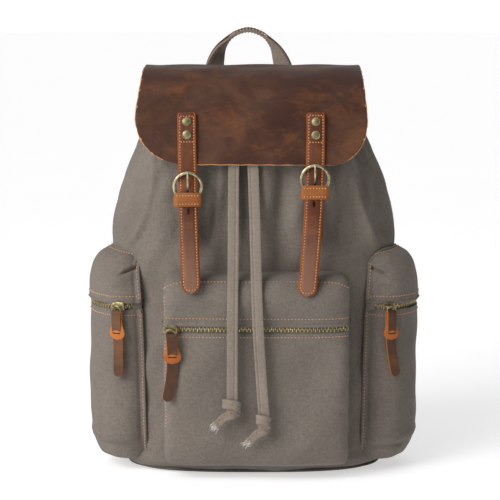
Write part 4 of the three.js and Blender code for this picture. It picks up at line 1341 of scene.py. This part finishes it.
def in_frame(points, origin, sideways, out):
    """Points from a slider's own frame (sideways, outwards, up) to the bag's."""
    basis = np.array([sideways, out, [0, 0, 1]], float)
    return np.asarray(points, float) @ basis + np.asarray(origin)


def slider_shape(origin, sideways, out):
    """A zip slider: its plate, its nose, the arch over it and the ring of its pull."""
    shape = Shape()
    turn = np.column_stack([sideways, out, [0.0, 0.0, 1.0]])

    def place(points):
        return in_frame(points, origin, sideways, out)

    plate, nose = place([(0.0006, 0.0016, 0), (-0.0058, 0.0018, 0)])
    shape.pebble(plate, (0.0070, 0.0016, 0.0050), "brass_dark", turn, rows=12, around=28)
    shape.pebble(nose, (0.0024, 0.0017, 0.0038), "brass_dark", turn)
    arch = [
        (-0.0050, 0.0026, 0), (-0.0044, 0.0044, 0), (-0.0020, 0.0056, 0), (0.0016, 0.0056, 0),
        (0.0038, 0.0044, 0), (0.0044, 0.0026, 0),
    ]
    shape.tube(place(curve(arch, 22)), 0.0013, "brass_dark", around=10, flat=0.75)
    # The wire ring that carries the leather pull.
    angle = whole_turn(32)
    ring = np.column_stack([
        np.sin(angle) * 0.0050, 0.0062 + np.cos(angle) * 0.0012, -0.0036 + np.cos(angle) * 0.0046,
    ])
    shape.tube(place(ring), 0.00095, "brass_dark", around=8, closed=True)
    return shape


def strip(shape, line, sideways, out, width, thick, face, edge, widths=None):
    """A leather strip with a coloured face and raw edges, along a line that leans one way."""
    line = np.asarray(line, float)
    along = tangents(line)
    sides = np.tile(unit(np.asarray(sideways, float)), (len(line), 1))
    sides = unit(sides - along * np.sum(sides * along, axis=1)[:, None])
    ups = np.cross(sides, along)
    if np.sum(ups * np.asarray(out)) < 0:
        ups = -ups
    w, h = width / 2, thick / 2
    section = [
        (-w * 0.93, h), (-w * 0.45, h * 1.08), (w * 0.45, h * 1.08), (w * 0.93, h), (w, h * 0.4),
        (w, -h * 0.6), (w * 0.93, -h), (-w * 0.93, -h), (-w, -h * 0.6), (-w, h * 0.4),
    ]
    names = [face] * 3 + [edge] * 7
    section, names = facing_out(section, names, along[0], sides[0], ups[0])
    shape.sweep(line, sides, ups, section, names, widths)
    return ups


def rounded_tip(count, reach, length):
    """Widths that stay full and then close round at the end of a strip."""
    return rounded_end(np.linspace(length, 0, count), reach, power=2.2, least=0.0009)


def pull_shape(origin, sideways, out, sway, twist):
    """A leather pull: a loop on the ring, its slit end drawn over itself, and the tail."""
    shape = Shape()

    def place(points):
        points = np.asarray(points, float) - [0, 0, PULL_DROP]
        drop = -points[:, 2] / PULL_LONG
        moved = points.copy()
        moved[:, 0] += sway * np.sin(drop * 2.6) + twist * drop**2
        return in_frame(moved, origin, sideways, out)

    w = PULL_WIDE
    front = curve([
        (0, 0.0062, 0.0012), (0, 0.0078, 0.0002), (0, 0.0084, -0.005), (0, 0.0086, -0.012),
        (0, 0.0082, -0.019), (0, 0.0066, -0.0235),
    ], 26)
    strip(shape, place(front), sideways, out, w * 0.92, 0.0016, "pull_leather", "pull_flesh")
    rear = curve([
        (0, 0.0062, 0.0012), (0, 0.0050, -0.0008), (0, 0.0047, -0.006), (0, 0.0046, -0.014),
        (0, 0.0048, -0.022),
    ], 20)
    strip(shape, place(rear), sideways, out, w, 0.0016, "pull_flesh", "pull_flesh")
    # The slit part, pulled round into a pouch with its flesh side out.
    rows = []
    for t in np.linspace(0, 1, 22):
        z = -0.0085 - 0.0225 * t
        closing = math.sqrt(max(1 - max((t - 0.60) / 0.40, 0) ** 2.4, 0.002))
        half = w / 2 * (1.06 + 0.52 * step(0.12, 0.70, t)) * closing
        across = np.linspace(-1, 1, 17)
        bulge = 0.0062 + 0.0026 * np.sin(math.pi * min(t * 0.9 + 0.05, 1)) * (1 - across**2 * 0.85)
        rows.append(np.column_stack([across * half, bulge, np.full_like(across, z)]))
    pouch = np.array([place(row) for row in rows])
    behind = np.asarray(origin) - np.asarray(out) * 0.02 - [0, 0, 0.02]
    shape.sheet(pouch, 0.0015, "pull_flesh", "pull_leather", "pull_flesh", behind)
    # A flat near-black pebble in the slit: painted shade in its opening.
    slit, turn = place([(0, 0.0070, -0.0232)])[0], np.column_stack([sideways, out, [0, 0, 1.0]])
    shape.pebble(slit, (w * 0.46, 0.0016, 0.0014), "hole", turn, power=3)
    tail = curve([
        (0, 0.0052, -0.016), (0, 0.0050, -0.026), (0, 0.0046, -0.036), (0, 0.0050, -0.052),
        (0, 0.0056, -0.0715),
    ], 44)
    widths = rounded_tip(44, 0.0062, 0.0555)
    strip(shape, place(tail), sideways, out, w, 0.0020, "pull_leather", "pull_flesh", widths)
    return shape


low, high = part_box("front_slider")
SLIDER_ANGLE = math.radians(26.5)
SLIDER_RADIUS = 0.0600
# Each slider's place, its sideways and outward directions, and how its pull hangs: sway and twist.
centre = np.array([(low.x + high.x) / 2, low.y + 0.0070, POCKET_ZIP])
spots = {"front": (centre, np.array([1.0, 0, 0]), np.array([0, -1.0, 0]), 0.0034, -0.0050)}
for side, sign in SIDES:
    out = np.array([sign * math.sin(SLIDER_ANGLE), -math.cos(SLIDER_ANGLE), 0.0])
    sideways = np.array([math.cos(SLIDER_ANGLE), sign * math.sin(SLIDER_ANGLE), 0.0])
    centre = np.array([sign * SIDE_CENTRE[0], SIDE_CENTRE[1], SIDE_ZIP]) + out * SLIDER_RADIUS
    sway = (0.0006, 0.0008) if side == "left" else (-0.0008, 0.0068)
    spots[side] = (centre, sideways, out, *sway)
for name, (centre, sideways, out, sway, twist) in spots.items():
    slider, pull = f"{name}_slider", f"{name}_pull"
    piece(f"{slider}_body", slider_shape(centre, sideways, out), slider, [slider])
    hung = pull_shape(centre, sideways, out, sway, twist)
    piece(f"{pull}_leather", hung, pull, [pull])

# ---------------------------------------------------------------- flap

FLAP_THICK = 0.0024
# The flap's middle line from its hinge at the back, over the top, down to its lip: depth and height.
FLAP_LINE = np.array([
    [66, 392], [66, 404], [63.5, 419], [53, 432], [28, 437.6], [-8, 438.2], [-40, 434.5], [-60, 425],
    [-72, 408], [-79, 388], [-83, 365], [-85.8, 339.2],
]) * MM
FLAP_DENSE = curve(FLAP_LINE, 1200)
FLAP_STEPS = np.linspace(0, 1, len(FLAP_DENSE))
UNDER_FLAP_Z = 0.36


def bezier(points, count=80):
    a, b, c, d = np.asarray(points, float)
    t = np.linspace(0, 1, count)[:, None]
    return a * (1 - t) ** 3 + 3 * b * t * (1 - t) ** 2 + 3 * c * t**2 * (1 - t) + d * t**3


def flap_edge(sign):
    """Height and place across of one side edge of the flap, from its lip up."""
    if sign < 0:
        corner = bezier([(-72, 339), (-106, 341.5), (-126, 360), (-126, 392)])
        upper = [(-121, 425), (-118, 450)]
    else:
        corner = bezier([(74, 338), (110, 341), (121.5, 362), (120.5, 392)])
        upper = [(117, 425), (114, 450)]
    points = np.concatenate([corner, upper]) * MM
    return points[:, 1], points[:, 0]


def flap_at(x, v, lift=0.0):
    """A point on the flap's middle surface, raised outwards by lift, and its outward normal."""
    v = np.clip(v, 0, 1)
    y = np.interp(v, FLAP_STEPS, FLAP_DENSE[:, 0])
    z = np.interp(v, FLAP_STEPS, FLAP_DENSE[:, 1])
    way = tangents(FLAP_DENSE)
    ty = np.interp(v, FLAP_STEPS, way[:, 0])
    tz = np.interp(v, FLAP_STEPS, way[:, 1])
    normal = unit(np.stack([0 * x, -tz, ty], axis=-1))
    outwards = normal[..., 1:2] * y[..., None] + normal[..., 2:] * (z[..., None] - UNDER_FLAP_Z)
    normal = np.where(outwards < 0, -normal, normal)
    ripple = 0.0008 * np.sin(x * 38 + 1.1) * np.sin(v * 9.5) + 0.0005 * np.sin(x * 90 + v * 24)
    ripple = ripple * step(0.08, 0.3, v)
    base = np.stack([x + 0 * y, y + 0 * x, z + 0 * x], axis=-1)
    return base + normal * (lift + ripple)[..., None], normal


def flap_place(height):
    """How far along the flap's line its front reaches a height."""
    front = FLAP_DENSE[:, 0] < -0.02
    return float(np.interp(-height, -FLAP_DENSE[front, 1], FLAP_STEPS[front]))


# The flap's grid is closer where the leather is cut.
v_rows = np.concatenate(
    [np.linspace(0, 0.80, 84), np.linspace(0.806, 0.985, 54), np.linspace(0.988, 1.0, 7)]
)
u_columns = np.concatenate([[0, 0.0032, 0.008], np.linspace(0.015, 0.985, 150), [0.992, 0.9968, 1]])
row_z = np.interp(v_rows, FLAP_STEPS, FLAP_DENSE[:, 1])
left_z, left_x = flap_edge(-1)
right_z, right_x = flap_edge(1)
left_at, right_at = np.interp(row_z, left_z, left_x), np.interp(row_z, right_z, right_x)
roughly = 0.0002 * np.sin(v_rows * 90) + 0.0001 * np.sin(v_rows * 230 + 1)
grid_x = (left_at + roughly)[:, None] * (1 - u_columns) + (right_at - roughly)[:, None] * u_columns
rough_lip = 0.0009 * np.sin(grid_x * 310) * (v_rows[:, None] > 0.99)
grid_v = v_rows[:, None] * (1 + 0.0030 * grid_x / 0.12) + rough_lip
from_side = np.minimum(grid_x - left_at[:, None], right_at[:, None] - grid_x)
from_lip = (1 - v_rows[:, None]) * length_of(FLAP_DENSE) + 0 * grid_x
near_edge = 1 - step(0, 0.0012, np.minimum(from_side, from_lip))
flap_skin, flap_normals = flap_at(grid_x, grid_v, 0.0)
flap_skin = flap_skin + flap_normals * (FLAP_THICK / 2 - 0.0009 * near_edge)[..., None]
flap_shape = Shape()
edge_quads = (near_edge[:-1, :-1] + near_edge[1:, 1:]).ravel() > 0.55
flap_names = ["raw_edge" if raw else "flap_leather" for raw in edge_quads]
under_flap = (0, 0, UNDER_FLAP_Z)
flap_shape.sheet(flap_skin, FLAP_THICK - 0.0006, flap_names, "flesh_side", "raw_edge", under_flap)
# The rows of stitches that hold the flap to the back of the bag.
for row in (3, 9):
    flap_shape.stitches(flap_skin[row, 4:-4], flap_normals[row, 4:-4], "thread")
piece("flap_leather", flap_shape, "flap", ["flap"])

# ---------------------------------------------------------------- closure straps

STRAP_WIDE = 0.020
STRAP_THICK = 0.0026
STRAPS = {
    "left": {"top": -0.0709, "middle": -0.0697, "tip": -0.0655, "ring": 0.3177, "end": 0.2075},
    "right": {"top": 0.0654, "middle": 0.0645, "tip": 0.0552, "ring": 0.3254, "end": 0.2045},
}
STRAP_START = 0.3940
STRAP_TIP_REACH = 0.0098
# Rows of stitches across a strap, and the heights of its two rivets.
SEWN_ACROSS = (STRAP_START - 0.0030, 0.3642)
RIVETS = (("upper", 0.3852), ("lower", 0.3716))
# The size of the stitches on the straps and keepers.
STRAP_STITCH = 0.66 * MM


def cut(shape, cutters):
    """The shape with holes cut through it; each cutter is a centre and half size. The cutters' near-black
    material, painted shade, goes onto the holes' walls.
    """
    made = piece("cut_body", shape, None, sharp=180)
    tools = []
    for centre, half in cutters:
        tool_shape = Shape()
        tool_shape.pebble(centre, half, "hole", power=5, rows=8, around=16)
        ends = [list(range(16))[::-1], list(range(16 * 7, 16 * 8))]
        tool_shape.faces += ends
        tool_shape.materials += ["hole", "hole"]
        tool = piece("cut_tool", tool_shape, None, sharp=180)
        modifier = made.modifiers.new("cut", "BOOLEAN")
        modifier.operation = "DIFFERENCE"
        modifier.solver = "EXACT"
        modifier.material_mode = "TRANSFER"
        modifier.object = tool
        tools.append(tool)
    graph = bpy.context.evaluated_depsgraph_get()
    mesh = bpy.data.meshes.new_from_object(made.evaluated_get(graph))
    short = {material.name: name for name, material in MATERIALS.items()}
    names = [short[material.name] for material in mesh.materials]
    result = Shape()
    result.add(
        [vertex.co[:] for vertex in mesh.vertices],
        [list(face.vertices) for face in mesh.polygons],
        [names[face.material_index] for face in mesh.polygons],
    )
    for tool in [*tools, made]:
        bpy.data.objects.remove(tool, do_unlink=True)
    bpy.data.meshes.remove(mesh)
    return result


def strap_line(facts):
    """The strap's middle line: down the flap, through the ring and keeper, to its tip."""
    ring = facts["ring"]
    v = np.linspace(flap_place(STRAP_START), flap_place(0.3500), 40)
    on_flap, _ = flap_at(np.zeros_like(v), v, (FLAP_THICK + STRAP_THICK) / 2 + 0.0002)
    hanging = [
        (0, -0.0901, ring + 0.0095), (0, -0.0952, ring - 0.0085), (0, -0.0970, ring - 0.0150),
        (0, -0.1045, 0.2700), (0, -0.1125, 0.2420), (0, -0.1186, 0.2220), (0, -0.1221, 0.2000),
    ]
    points = curve(np.concatenate([on_flap[::6], hanging]), 700)
    points = points[points[:, 2] >= facts["end"]]
    # It hangs straight as far as the ring and then swings towards the middle.
    heights = [STRAP_START, ring, facts["end"]]
    bend = np.polyfit(heights, [facts["top"], facts["middle"], facts["tip"]], 2)
    points[:, 0] = np.polyval(bend, points[:, 2])
    return evenly(points, 210)


def strap_section(width, thick, margin):
    """A strap's outline: rounded raw edges, a creased line where it is sewn, a domed face."""
    w, h = width / 2, thick / 2
    sewn = w - margin
    right = [
        (0, h * 1.12), (sewn * 0.55, h * 1.10), (sewn - 0.0007, h), (sewn, h * 0.66),
        (sewn + 0.0007, h * 0.98), (w * 0.94, h * 0.80), (w, h * 0.15), (w, -h * 0.55), (w * 0.95, -h),
    ]
    return right + [(-a, b) for a, b in right[:0:-1]]


def strap_names(face, margin_name):
    return [face] * 3 + [margin_name] * 11 + [face] * 3


def on_line(line, height):
    return int(np.argmin(np.abs(line[:, 2] - height)))


SEWN_MARGIN = 0.0026
# A rivet's flat cap with its turned rim: radius and height, in millimetres.
RIVET_CAP = np.array([
    [0, 1.30], [3.3, 1.28], [3.7, 1.05], [4.0, 1.22], [4.5, 1.05], [4.8, 0.6], [4.85, 0.1], [4.6, -0.6],
]) * MM
RING_RADIUS = 0.0145
RING_WIRE = 0.0018
RING_Y = -0.0925
# The ring's top leans forward and its foot back by this much.
RING_LEAN = 0.0021
KEEPER_Y = -0.0940
# A snap's radius and height, as shares of the radius and depth it has room for.
SNAP_OUTLINE = np.array([[0, 0.8], [0.45, 0.8], [0.55, 1], [0.85, 0.92], [1, 0.4], [0.98, 0]])

for side, _ in SIDES:
    facts = STRAPS[side]
    line = strap_line(facts)
    along, sides_of, ups = ribbon_frame(line, -1)
    total = length_of(line)
    left_over = np.linspace(total, 0, len(line))
    widths = rounded_end(left_over, STRAP_TIP_REACH, least=0.0006)
    widths *= rounded_end(total - left_over, 0.0022, cut=0.35)
    section = strap_section(STRAP_WIDE, STRAP_THICK, SEWN_MARGIN)
    names = strap_names("strap_leather", "strap_margin")
    section, names = facing_out(section, names, along[50], sides_of[50], ups[50])
    shape = Shape()
    shape.sweep(line, sides_of, ups, section, names, widths)
    ring = facts["ring"]
    holes = []
    for low_z, high_z in ((ring - 0.012, ring + 0.0045), (ring - 0.0285, ring - 0.0222)):
        k = on_line(line, (low_z + high_z) / 2)
        holes.append((line[k], (0.0014, 0.010, (high_z - low_z) / 2)))
    shape = cut(shape, holes)
    # Rows of stitches down both edges and round the tip, and the sewn box at the top.
    sewn = STRAP_WIDE / 2 - SEWN_MARGIN
    first = on_line(line, STRAP_START - 0.0030)
    offset = sewn * rounded_end(left_over - SEWN_MARGIN, STRAP_TIP_REACH - SEWN_MARGIN)
    stop = int(np.argmin(np.abs(left_over - SEWN_MARGIN)))
    lift = ups * (STRAP_THICK * 0.36)
    down_left = (line - sides_of * offset[:, None] + lift)[first:stop]
    down_right = (line + sides_of * offset[:, None] + lift)[first:stop]
    shape.stitches(
        np.concatenate([down_left, down_right[::-1]]),
        np.concatenate([ups[first:stop], ups[first:stop][::-1]]),
        "thread", pitch=3.1 * MM, size=STRAP_STITCH,
    )
    for height in SEWN_ACROSS:
        k = on_line(line, height)
        across = np.linspace(-sewn, sewn, 12)[:, None]
        row = line[k] + sides_of[k] * across + ups[k] * STRAP_THICK * 0.44
        shape.stitches(row, ups[k], "thread", pitch=2.9 * MM, size=STRAP_STITCH)
    nodes = [f"strap_tab_{side}", f"flap_strap_{side}"]
    strap = piece(f"strap_{side}_leather", shape, None, nodes)
    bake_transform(strap)

    for where, height in RIVETS:
        k = on_line(line, height)
        rivet = Shape()
        face = line[k] + ups[k] * (STRAP_THICK / 2)
        rivet.lathe(RIVET_CAP, face, ups[k], "rivet_brass", around=40)
        piece(f"rivet_{where}_{side}_cap", rivet, "flap", [f"rivet_{where}_{side}"])

    mid = facts["middle"]
    angle = whole_turn(64)
    circle = np.column_stack([
        mid + RING_RADIUS * np.sin(angle),
        RING_Y - RING_LEAN * np.cos(angle),
        ring + RING_RADIUS * np.cos(angle),
    ])
    buckle = Shape()
    buckle.tube(circle, RING_WIRE, "brass", around=14, closed=True)
    piece(f"ring_{side}", buckle, f"buckle_{side}", [f"buckle_ring_{side}"])

    prong = Shape()
    tongue = curve([
        (mid, -0.0906, ring - 0.0128), (mid, -0.0922, ring - 0.0090), (mid, -0.0952, ring - 0.0010),
        (mid, -0.0972, ring + 0.0060), (mid, -0.0981, ring + 0.0120), (mid, -0.0974, ring + 0.0157),
    ], 30)
    taper = np.interp(np.linspace(0, 1, 30), [0, 0.7, 0.93, 1], [1.25, 1.15, 1.0, 0.55]) * MM
    prong.tube(tongue, taper, "brass", around=12)
    angle = whole_turn(24)
    hook = np.column_stack([
        0 * angle + mid, -0.0904 + 0.0023 * np.cos(angle), ring - 0.0144 + 0.0021 * np.sin(angle),
    ])
    prong.tube(hook, 0.0008, "brass", around=8, closed=True)
    piece(f"prong_{side}_tongue", prong, f"prong_{side}", [f"prong_{side}"])

    # The keeper: a sewn loop, tall in front and low where the ring passes behind it.
    angle = whole_turn(80)
    keeper_x = mid + 0.0148 * bent(np.sin(angle), 2 / 4.5)
    keeper_y = KEEPER_Y - 0.0076 * bent(np.cos(angle), 2 / 4.5)
    front_part = step(0.0962, 0.1005, -keeper_y)
    top_z = ring - 0.0166 + (0.0166 - 0.0057) * front_part
    levels = np.linspace(0, 1, 9)[:, None]
    loop_z = (ring - 0.0205) * (1 - levels) + top_z * levels
    swell = 0.0005 * np.sin(levels * math.pi) ** 0.5
    out = np.column_stack([keeper_x - mid, keeper_y - KEEPER_Y])
    grow = 1 + swell[..., None] / 0.012
    loop = np.concatenate([out[None] * grow + [mid, KEEPER_Y], loop_z[..., None]], axis=-1)
    keeper = Shape()
    keeper.sheet(loop, 0.0016, *["keeper_leather"] * 3, (mid, KEEPER_Y, ring - 0.015), closed=True)
    for height in (ring - 0.0088, ring - 0.0176):
        across = np.linspace(-0.0125, 0.0125, 20)
        row = np.column_stack([mid + across, -0.1021 + 0 * across, height + 0 * across])
        keeper.stitches(row, (0, -1, 0), "thread", pitch=2.9 * MM, size=STRAP_STITCH)
    piece(f"keeper_{side}_loop", keeper, f"strap_{side}", [f"keeper_{side}"])

    low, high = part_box(f"chape_{side}")
    chape_mid = (low.x + high.x) / 2
    chape_line = curve([
        (chape_mid, -0.0915, ring - 0.0164), (chape_mid, -0.0880, 0.2920), (chape_mid, -0.0835, 0.2770),
        (chape_mid, -0.0823, 0.2680), (chape_mid, -0.0823, 0.2588),
    ], 60)
    chape = Shape()
    widths = rounded_tip(60, 0.0050, length_of(chape_line))
    ups = strip(
        chape, chape_line, (1, 0, 0), (0, -1, 0), 0.018, 0.0022, "strap_leather", "strap_margin", widths
    )
    for across in (-0.0062, 0.0062):
        row = (chape_line + [across, 0, 0] + ups * 0.0010)[2:-8]
        chape.stitches(row, ups[2:-8], "thread", pitch=3.1 * MM)
    piece(f"chape_{side}_strip", chape, f"strap_{side}", [f"chape_{side}"])

    for part, body in (("snap_socket", "bag"), ("snap_stud", f"strap_{side}")):
        low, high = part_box(f"{part}_{side}")
        outline = SNAP_OUTLINE * [(high.x - low.x) / 2, high.y - low.y]
        centre = ((low.x + high.x) / 2, high.y, (low.z + high.z) / 2)
        snap = Shape()
        snap.lathe(outline, centre, (0, -1, 0), "brass")
        piece(f"{part}_{side}_disc", snap, body, [f"{part}_{side}"])

# ---------------------------------------------------------------- handle

# The handle's middle line, in millimetres.
HANDLE_POINTS = np.array([
    [-46, 70.6, 394.5], [-46, 70.6, 408], [-45.5, 71.6, 424], [-42.5, 75, 442], [-34, 78.5, 460],
    [-20, 79, 472], [-6, 79, 475.7], [8, 79, 471.5], [21, 78.5, 460], [30, 75, 443], [35, 71.6, 425],
    [36.5, 70.6, 408], [36.5, 70.6, 394.5],
]) * MM
# The webbing lies this far under the middle line, with the leather facing over it.
WEBBING_UNDER = 0.0011
# Above this height the leather facing covers the webbing.
FACING_FROM_Z = 0.4245
handle_line = curve(HANDLE_POINTS, 200)
place = np.linspace(0, 1, len(handle_line))
from_end = np.minimum(place, 1 - place) * 2
turned = step(0.08, 0.90, from_end) * math.pi / 2
turned = np.where(place < 0.5, turned, math.pi - turned)
flat = np.column_stack([np.cos(turned), np.sin(turned), 0 * turned])
along = tangents(handle_line)
flat = unit(flat - along * np.sum(flat * along, axis=1)[:, None])
handle_out = np.cross(along, flat)
webbing_section = [
    (-0.011, 0.0006), (-0.0106, 0.0014), (-0.006, 0.0015), (0, 0.0012), (0.006, 0.0015),
    (0.0106, 0.0014), (0.011, 0.0006), (0.011, -0.0006), (0.0106, -0.0014), (0, -0.0012),
    (-0.0106, -0.0014), (-0.011, -0.0006),
]
handle = Shape()
webbing_line = handle_line - handle_out * WEBBING_UNDER
handle.sweep(webbing_line, flat, handle_out, webbing_section, "canvas_tape")
for across in (-0.0085, 0.0085):
    for face in (1, -1):
        row = webbing_line + flat * across + handle_out * (face * 0.0014)
        handle.stitches(row[4:-4], handle_out[4:-4] * face, "canvas_thread", size=0.52 * MM)
piece("handle_webbing", handle, "handle", ["handle_strap"])
keep = handle_line[:, 2] > FACING_FROM_Z
facing = Shape()
facing_line = (handle_line + handle_out * 0.0019)[keep]
across_face, off_face = flat[keep], handle_out[keep]
rank = np.arange(len(facing_line))
facing_widths = rounded_end(np.minimum(rank, rank[::-1]), 7, cut=0.75)
section = strap_section(0.0205, 0.0012, 0.0022)
facing.sweep(facing_line, across_face, off_face, section, "handle_face", facing_widths)
for across in (-0.0080, 0.0080):
    row = facing_line + across_face * across + off_face * 0.0004
    facing.stitches(row[3:-3], off_face[3:-3], "thread", size=0.45 * MM)
piece("handle_leather", facing, "handle", ["handle_facing"])

# ---------------------------------------------------------------- back: yoke, shoulder straps, webbing


def sewn_patch(name, skin, thickness, inset, node):
    """A leather patch on the bag's back, with a row of stitches inset from each of its edges."""
    patch = Shape()
    normals = patch.sheet(skin, thickness, *PATCH_LEATHER, INSIDE)
    inner = slice(inset, -inset)
    for row in (inset, -inset - 1):
        patch.stitches(skin[row, inner], normals[row, inner], "thread")
    for column in (inset, -inset - 1):
        patch.stitches(skin[inner, column], normals[inner, column], "thread")
    piece(name, patch, "bag", [node])


low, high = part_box("yoke_patch")
columns = np.concatenate([[0, 0.006], np.linspace(0.014, 0.986, 60), [0.994, 1]])
rows = np.concatenate([[0, 0.02], np.linspace(0.045, 0.955, 26), [0.98, 1]])
x_grid = low.x + (high.x - low.x) * columns[None] + 0 * rows[:, None]
z_grid = low.z + (high.z - low.z) * rows[:, None] + 0 * columns[None]
ends = 1 - step(0, 0.0018, from_rim(x_grid, z_grid, low, high))
ripple = 0.0005 * np.sin(x_grid * 70) * np.sin(z_grid * 120)
y_grid = body_back(x_grid, z_grid) + 0.0033 - 0.0009 * ends + ripple
sewn_patch("yoke_leather", np.stack([x_grid, y_grid, z_grid], axis=-1), 0.0028, 3, "yoke_patch")


def swollen(made, voxel, pressure, cap, frames=20):
    """Puffs a closed mesh up as cloth round its filling: no gravity, and no point moves past cap."""
    remesh = made.modifiers.new("remesh", "REMESH")
    remesh.mode = "VOXEL"
    remesh.voxel_size = voxel
    graph = bpy.context.evaluated_depsgraph_get()
    mesh = bpy.data.meshes.new_from_object(made.evaluated_get(graph))
    made.modifiers.clear()
    old, made.data = made.data, mesh
    bpy.data.meshes.remove(old)
    before = np.array([v.co[:] for v in mesh.vertices])
    cloth = made.modifiers.new("cloth", "CLOTH")
    cloth.settings.use_pressure = True
    cloth.settings.uniform_pressure_force = pressure
    cloth.settings.effector_weights.gravity = 0
    cloth.point_cache.frame_start, cloth.point_cache.frame_end = 1, frames
    for number in range(1, frames + 1):
        bpy.context.scene.frame_set(number)
    graph = bpy.context.evaluated_depsgraph_get()
    after = np.array([v.co[:] for v in made.evaluated_get(graph).data.vertices])
    made.modifiers.clear()
    move = after - before
    far = np.linalg.norm(move, axis=1, keepdims=True)
    after = before + move * np.minimum(1, cap / np.maximum(far, 1e-9))
    mesh.vertices.foreach_set("co", after.ravel())
    mesh.polygons.foreach_set("use_smooth", [True] * len(mesh.polygons))
    mesh.update()
    bpy.context.scene.frame_set(1)
    smooth = made.modifiers.new("smooth", "SUBSURF")
    smooth.levels = smooth.render_levels = 1


# One shoulder strap's middle line and the ends of its webbing, in millimetres.
SHOULDER_POINTS = np.array([
    [31, 73.5, 350], [33, 80.5, 325], [38, 90, 290], [45, 97, 245], [54, 99.5, 200],
    [65, 96.5, 160], [74, 92, 132],
]) * MM
WEB_ENDS = np.array([[75.5, 91.5, 126.4], [112, 67.2, 34]]) * MM
PAD_HALF, PAD_THICK = 0.0268, 0.0036
# The corners of the leather patch that holds the webbing's foot: across and up, in millimetres.
ANCHOR_CORNERS = np.array([[98, 9], [127, 9], [126, 50], [104, 50]]) * MM
# The bars of a ladder lock: place across, place along and half size.
LOCK_BARS = [
    (-0.0155, 0, (0.0016, 0.0015, 0.0118)), (0.0155, 0, (0.0016, 0.0015, 0.0118)),
    (0, -0.0104, (0.0168, 0.0016, 0.0016)), (0, 0.0104, (0.0168, 0.0016, 0.0016)),
    (0, 0, (0.0155, 0.0013, 0.0013)),
]
for side, sign in SIDES:
    mirror = np.array([sign, 1, 1])
    line = curve(SHOULDER_POINTS, 90) * mirror
    _, sides_of, outs = ribbon_frame(line, 1)
    place = np.linspace(0, 1, len(line))
    widths = np.interp(place, [0, 0.04, 0.12, 0.80, 0.96, 1.0], [0.86, 0.95, 1, 0.98, 0.62, 0.45])
    angle = whole_turn(36)
    section = np.column_stack([PAD_HALF * bent(np.cos(angle), 0.55), PAD_THICK * bent(np.sin(angle), 0.55)])
    pad = Shape()
    pad.sweep(line, sides_of, outs, section, "canvas", widths)
    padded = piece(f"shoulder_pad_{side}", pad, "bag", [f"shoulder_strap_{side}"])
    swollen(padded, 0.0045, 4.0, 0.0030)

    trim = Shape()
    for edge in (-1, 1):
        rim = line + sides_of * (edge * (PAD_HALF - 0.0002) * widths)[:, None]
        # The piping along the pad's edges, in the darkened canvas of painted shade.
        trim.tube(rim[1:-1], 0.0021, "canvas_dark", around=10)
        sewn = line + sides_of * (edge * (PAD_HALF - 0.0058) * widths)[:, None] + outs * 0.0050
        trim.stitches(sewn[3:-5], outs[3:-5], "canvas_thread", size=0.5 * MM)
    piece(f"shoulder_trim_{side}", trim, "bag", ())

    web_line = evenly(WEB_ENDS * mirror, 50)
    sag = np.sin(np.linspace(0, math.pi, 50)) * 0.0012
    web_line[:, 1] += sag
    way, web_sides, web_outs = ribbon_frame(web_line, 1)
    across = np.linspace(-1, 1, 19)
    rib = 0.0008 + 0.00016 * np.cos(across * 9 * math.pi)
    web_section = np.concatenate([
        np.column_stack([across * 0.011, rib]), np.column_stack([across[::-1] * 0.011, -rib]),
    ])
    web = Shape()
    web.sweep(web_line, web_sides, web_outs, web_section, "webbing")
    piece(f"webbing_{side}_band", web, "bag", [f"webbing_{side}"])

    # The ladder lock: a rounded frame and its middle bar, turned as the webbing is near its top.
    turn = np.column_stack([web_sides[7], web_outs[7], way[7]])
    lock = Shape()
    spot = middle_of(f"adjuster_{side}")
    for at_x, at_z, half in LOCK_BARS:
        centre = spot + turn @ np.array([at_x, 0, at_z])
        lock.pebble(centre, half, "brass_dark", turn, rows=10)
    piece(f"adjuster_{side}_frame", lock, "bag", [f"adjuster_{side}"])

    t, u = np.linspace(0, 1, 26)[:, None, None], np.linspace(0, 1, 22)[None, :, None]
    lower_edge = ANCHOR_CORNERS[0] * (1 - u) + ANCHOR_CORNERS[1] * u
    upper_edge = ANCHOR_CORNERS[3] * (1 - u) + ANCHOR_CORNERS[2] * u
    x, z = np.moveaxis(lower_edge * (1 - t) + upper_edge * t, -1, 0)
    anchor_skin = np.stack([x * sign, body_back(x, z) + 0.0036, z], axis=-1)
    sewn_patch(f"anchor_{side}_patch", anchor_skin, 0.003, 2, f"strap_anchor_{side}")
